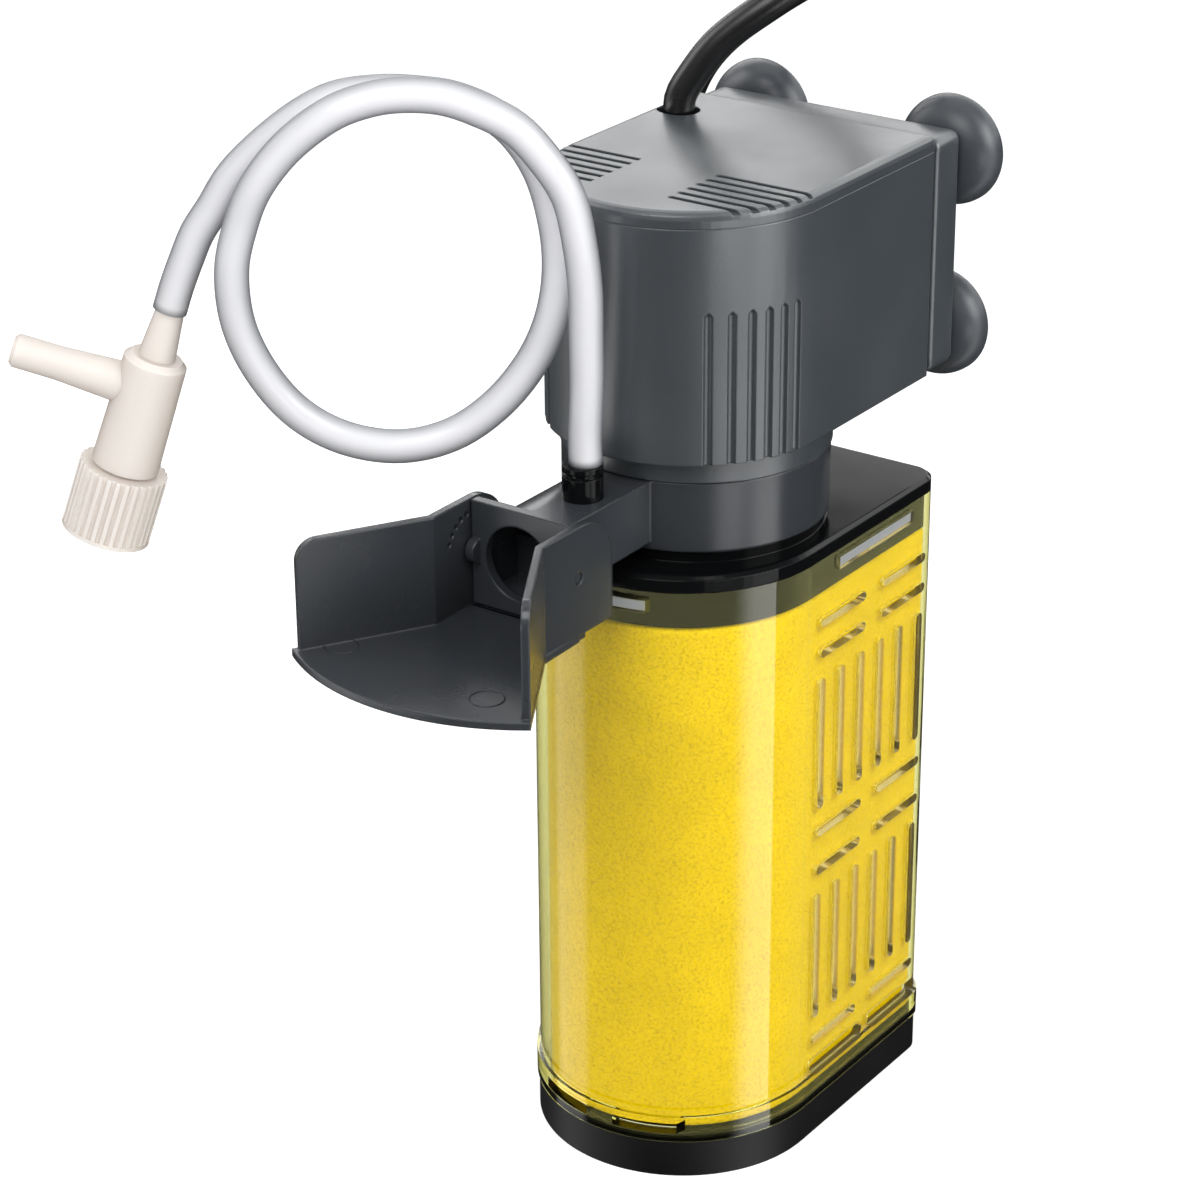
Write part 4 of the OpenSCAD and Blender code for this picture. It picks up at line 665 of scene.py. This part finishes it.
def foam_material():
    """Open-cell polyurethane foam, bright yellow: pores of about 0.6 mm as dark specks and bump."""
    material, tree, output = new_material("yellow_open_cell_foam")
    place = add(tree, "ShaderNodeTexCoord").outputs["Object"]
    cells = add(tree, "ShaderNodeTexVoronoi", {"Vector": place, "Scale": 1 / (0.7 * MM)}, feature="F1")
    fine = add(tree, "ShaderNodeTexNoise", {"Vector": place, "Scale": 1 / (0.5 * MM), "Detail": 4.0,
                                            "Roughness": 0.7})
    patches = add(tree, "ShaderNodeTexNoise", {"Vector": place, "Scale": 1 / (9 * MM), "Detail": 3.0})
    speck = add(tree, "ShaderNodeMapRange", {"Value": fine.outputs["Fac"], "From Min": 0.34, "From Max": 0.52})
    tone = add(tree, "ShaderNodeMixRGB", {"Fac": speck.outputs["Result"], "Color1": linear("#cfab00"),
                                          "Color2": linear("#f0ce00")})
    shade = add(tree, "ShaderNodeMapRange", {"Value": patches.outputs["Fac"], "From Min": 0.3, "From Max": 0.7,
                                             "To Min": 0.93, "To Max": 1.03})
    colour = add(tree, "ShaderNodeVectorMath", {0: tone.outputs[0], 1: shade.outputs["Result"]},
                 operation="MULTIPLY")
    bump = add(tree, "ShaderNodeBump", {"Height": cells.outputs["Distance"], "Strength": 0.25,
                                        "Distance": 0.3 * MM})
    shader = add(tree, "ShaderNodeBsdfPrincipled", {
        "Base Color": colour.outputs[0], "Roughness": 0.85, "Normal": bump.outputs["Normal"],
        "Specular IOR Level": 0.05})
    tree.links.new(shader.outputs[0], output.inputs["Surface"])
    return material


sponge = make_sponge()
dress(sponge, foam_material(), "canister", "sponge", slot="yellow_foam")


# ---------------------------------------------------------------- stage and light

def make_stage():
    """A pale floor that keeps the object's shadow and is white to the camera."""
    size = 4.0
    floor = surface_mesh("floor", np.array([[[-size, -size, 0], [size, -size, 0]],
                                            [[-size, size, 0], [size, size, 0]]]))
    material, tree, output = new_material("pale_floor")
    path = add(tree, "ShaderNodeLightPath")
    pale = add(tree, "ShaderNodeBsdfDiffuse", {"Color": linear("#f2f2f2")})
    glow = add(tree, "ShaderNodeEmission", {"Color": (1, 1, 1, 1), "Strength": 0.42})
    lifted = add(tree, "ShaderNodeAddShader", {0: pale.outputs[0], 1: glow.outputs[0]})
    mixed = add(tree, "ShaderNodeMixShader", {0: path.outputs["Is Camera Ray"], 1: pale.outputs[0],
                                              2: lifted.outputs[0]})
    tree.links.new(mixed.outputs[0], output.inputs["Surface"])
    floor.data.materials.append(material)
    floor.visible_glossy = False


def maths(tree, operation, first, second):
    """One operation on two sockets or numbers of a node tree."""
    return add(tree, "ShaderNodeMath", {0: first, 1: second}, operation=operation).outputs[0]


def rise(tree, value, start, end, top=1.0):
    """0 up to the start, top from the end on, and a soft slope between."""
    return add(tree, "ShaderNodeMapRange", {"Value": value, "From Min": start, "From Max": end, "To Max": top},
               interpolation_type="SMOOTHSTEP").outputs[0]


def band(tree, value, start, end, soft_start, soft_end):
    """1 between two values, with soft edges, else 0."""
    fall = add(tree, "ShaderNodeMapRange", {"Value": value, "From Min": end - soft_end, "From Max": end,
                                            "To Min": 1.0, "To Max": 0.0}, interpolation_type="SMOOTHSTEP")
    return maths(tree, "MULTIPLY", rise(tree, value, start, start + soft_start), fall.outputs[0])


def studio_light(tree):
    """What glossy surfaces mirror: a room with soft boxes, as brightness by direction."""
    direction = add(tree, "ShaderNodeSeparateXYZ", {0: add(tree, "ShaderNodeTexCoord").outputs["Generated"]})
    x, y, z = (direction.outputs[axis] for axis in "XYZ")
    # Azimuth in degrees: 0 towards -Y, 90 towards +X
    angle = maths(tree, "ARCTAN2", x, maths(tree, "MULTIPLY", y, -1.0))
    azimuth = maths(tree, "MULTIPLY", angle, 180 / math.pi)
    # Two soft boxes from floor to ceiling, right and left
    boxes = maths(tree, "ADD", maths(tree, "MULTIPLY", band(tree, azimuth, 70, 109, 22, 1.5), 2.6),
                  maths(tree, "MULTIPLY", band(tree, azimuth, -88, -44, 10, 10), 0.9))
    # Two low ones in front, no lower than the pump head mirrors
    low = maths(tree, "ADD", maths(tree, "MULTIPLY", band(tree, azimuth, 45, 80, 12, 12), 4.0),
                maths(tree, "MULTIPLY", band(tree, azimuth, -66, -6, 14, 12), 3.0))
    low = maths(tree, "MULTIPLY", low, band(tree, z, -0.405, -0.05, 0.02, 0.1))
    # Bright behind, for the pump head's cover, with a dark gap at the height that the polished lid mirrors
    shelves = maths(tree, "ADD", band(tree, z, 0.15, 0.37, 0.1, 0.01), band(tree, z, 0.46, 0.75, 0.03, 0.2))
    behind = maths(tree, "MULTIPLY", rise(tree, y, 0.0, 0.4, 3.3), shelves)
    # The room itself is almost dark below the object and grey above it
    room = maths(tree, "ADD", maths(tree, "ADD", rise(tree, z, -0.15, 0.3, 0.35), behind), 0.025)
    return maths(tree, "ADD", maths(tree, "ADD", boxes, low), room)


def make_world():
    """White to the camera and through clear plastic, a dim room to diffuse surfaces, the studio to glossy
    ones."""
    world = bpy.data.worlds.new("studio")
    bpy.context.scene.world = world
    world.use_nodes = True
    tree = world.node_tree
    tree.nodes.clear()
    output = add(tree, "ShaderNodeOutputWorld")
    dim, studio, white = (add(tree, "ShaderNodeBackground", {"Color": (1, 1, 1, 1), "Strength": strength})
                          for strength in (0.50, studio_light(tree), 1.0))
    path = add(tree, "ShaderNodeLightPath")
    seen = maths(tree, "MAXIMUM", path.outputs["Is Camera Ray"], path.outputs["Is Transmission Ray"])
    first = add(tree, "ShaderNodeMixShader", {0: path.outputs["Is Glossy Ray"], 1: dim.outputs[0],
                                              2: studio.outputs[0]})
    last = add(tree, "ShaderNodeMixShader", {0: seen, 1: first.outputs[0], 2: white.outputs[0]})
    tree.links.new(last.outputs[0], output.inputs["Surface"])


def soft_box(name, azimuth, elevation, size, power):
    """A square area lamp in a direction from the object's middle, aimed at it."""
    a, e = math.radians(azimuth), math.radians(elevation)
    towards = Vector((math.sin(a) * math.cos(e), -math.cos(a) * math.cos(e), math.sin(e)))
    data = bpy.data.lights.new(name, "AREA")
    data.shape, data.size, data.size_y, data.energy = "RECTANGLE", size, size, power
    lamp = bpy.data.objects.new(name, data)
    bpy.context.scene.collection.objects.link(lamp)
    lamp.location = Vector((0, 0, LAMPS_AIM)) + towards * LAMPS_AWAY
    lamp.rotation_mode = "QUATERNION"
    lamp.rotation_quaternion = towards.to_track_quat("Z", "Y")
    lamp.visible_camera = False


LAMPS_AIM, LAMPS_AWAY = 0.1, 0.9    # height aimed at, and distance from there, in metres
make_stage()
make_world()
soft_box("key_front", 10, 48, 0.5, 3.5)
soft_box("fill_left", -70, 35, 0.5, 1.8)
soft_box("fill_right", 95, 30, 0.5, 3.8)
soft_box("top_rear", 215, 70, 0.6, 1.0)

bpy.context.scene.view_settings.view_transform = "Standard"
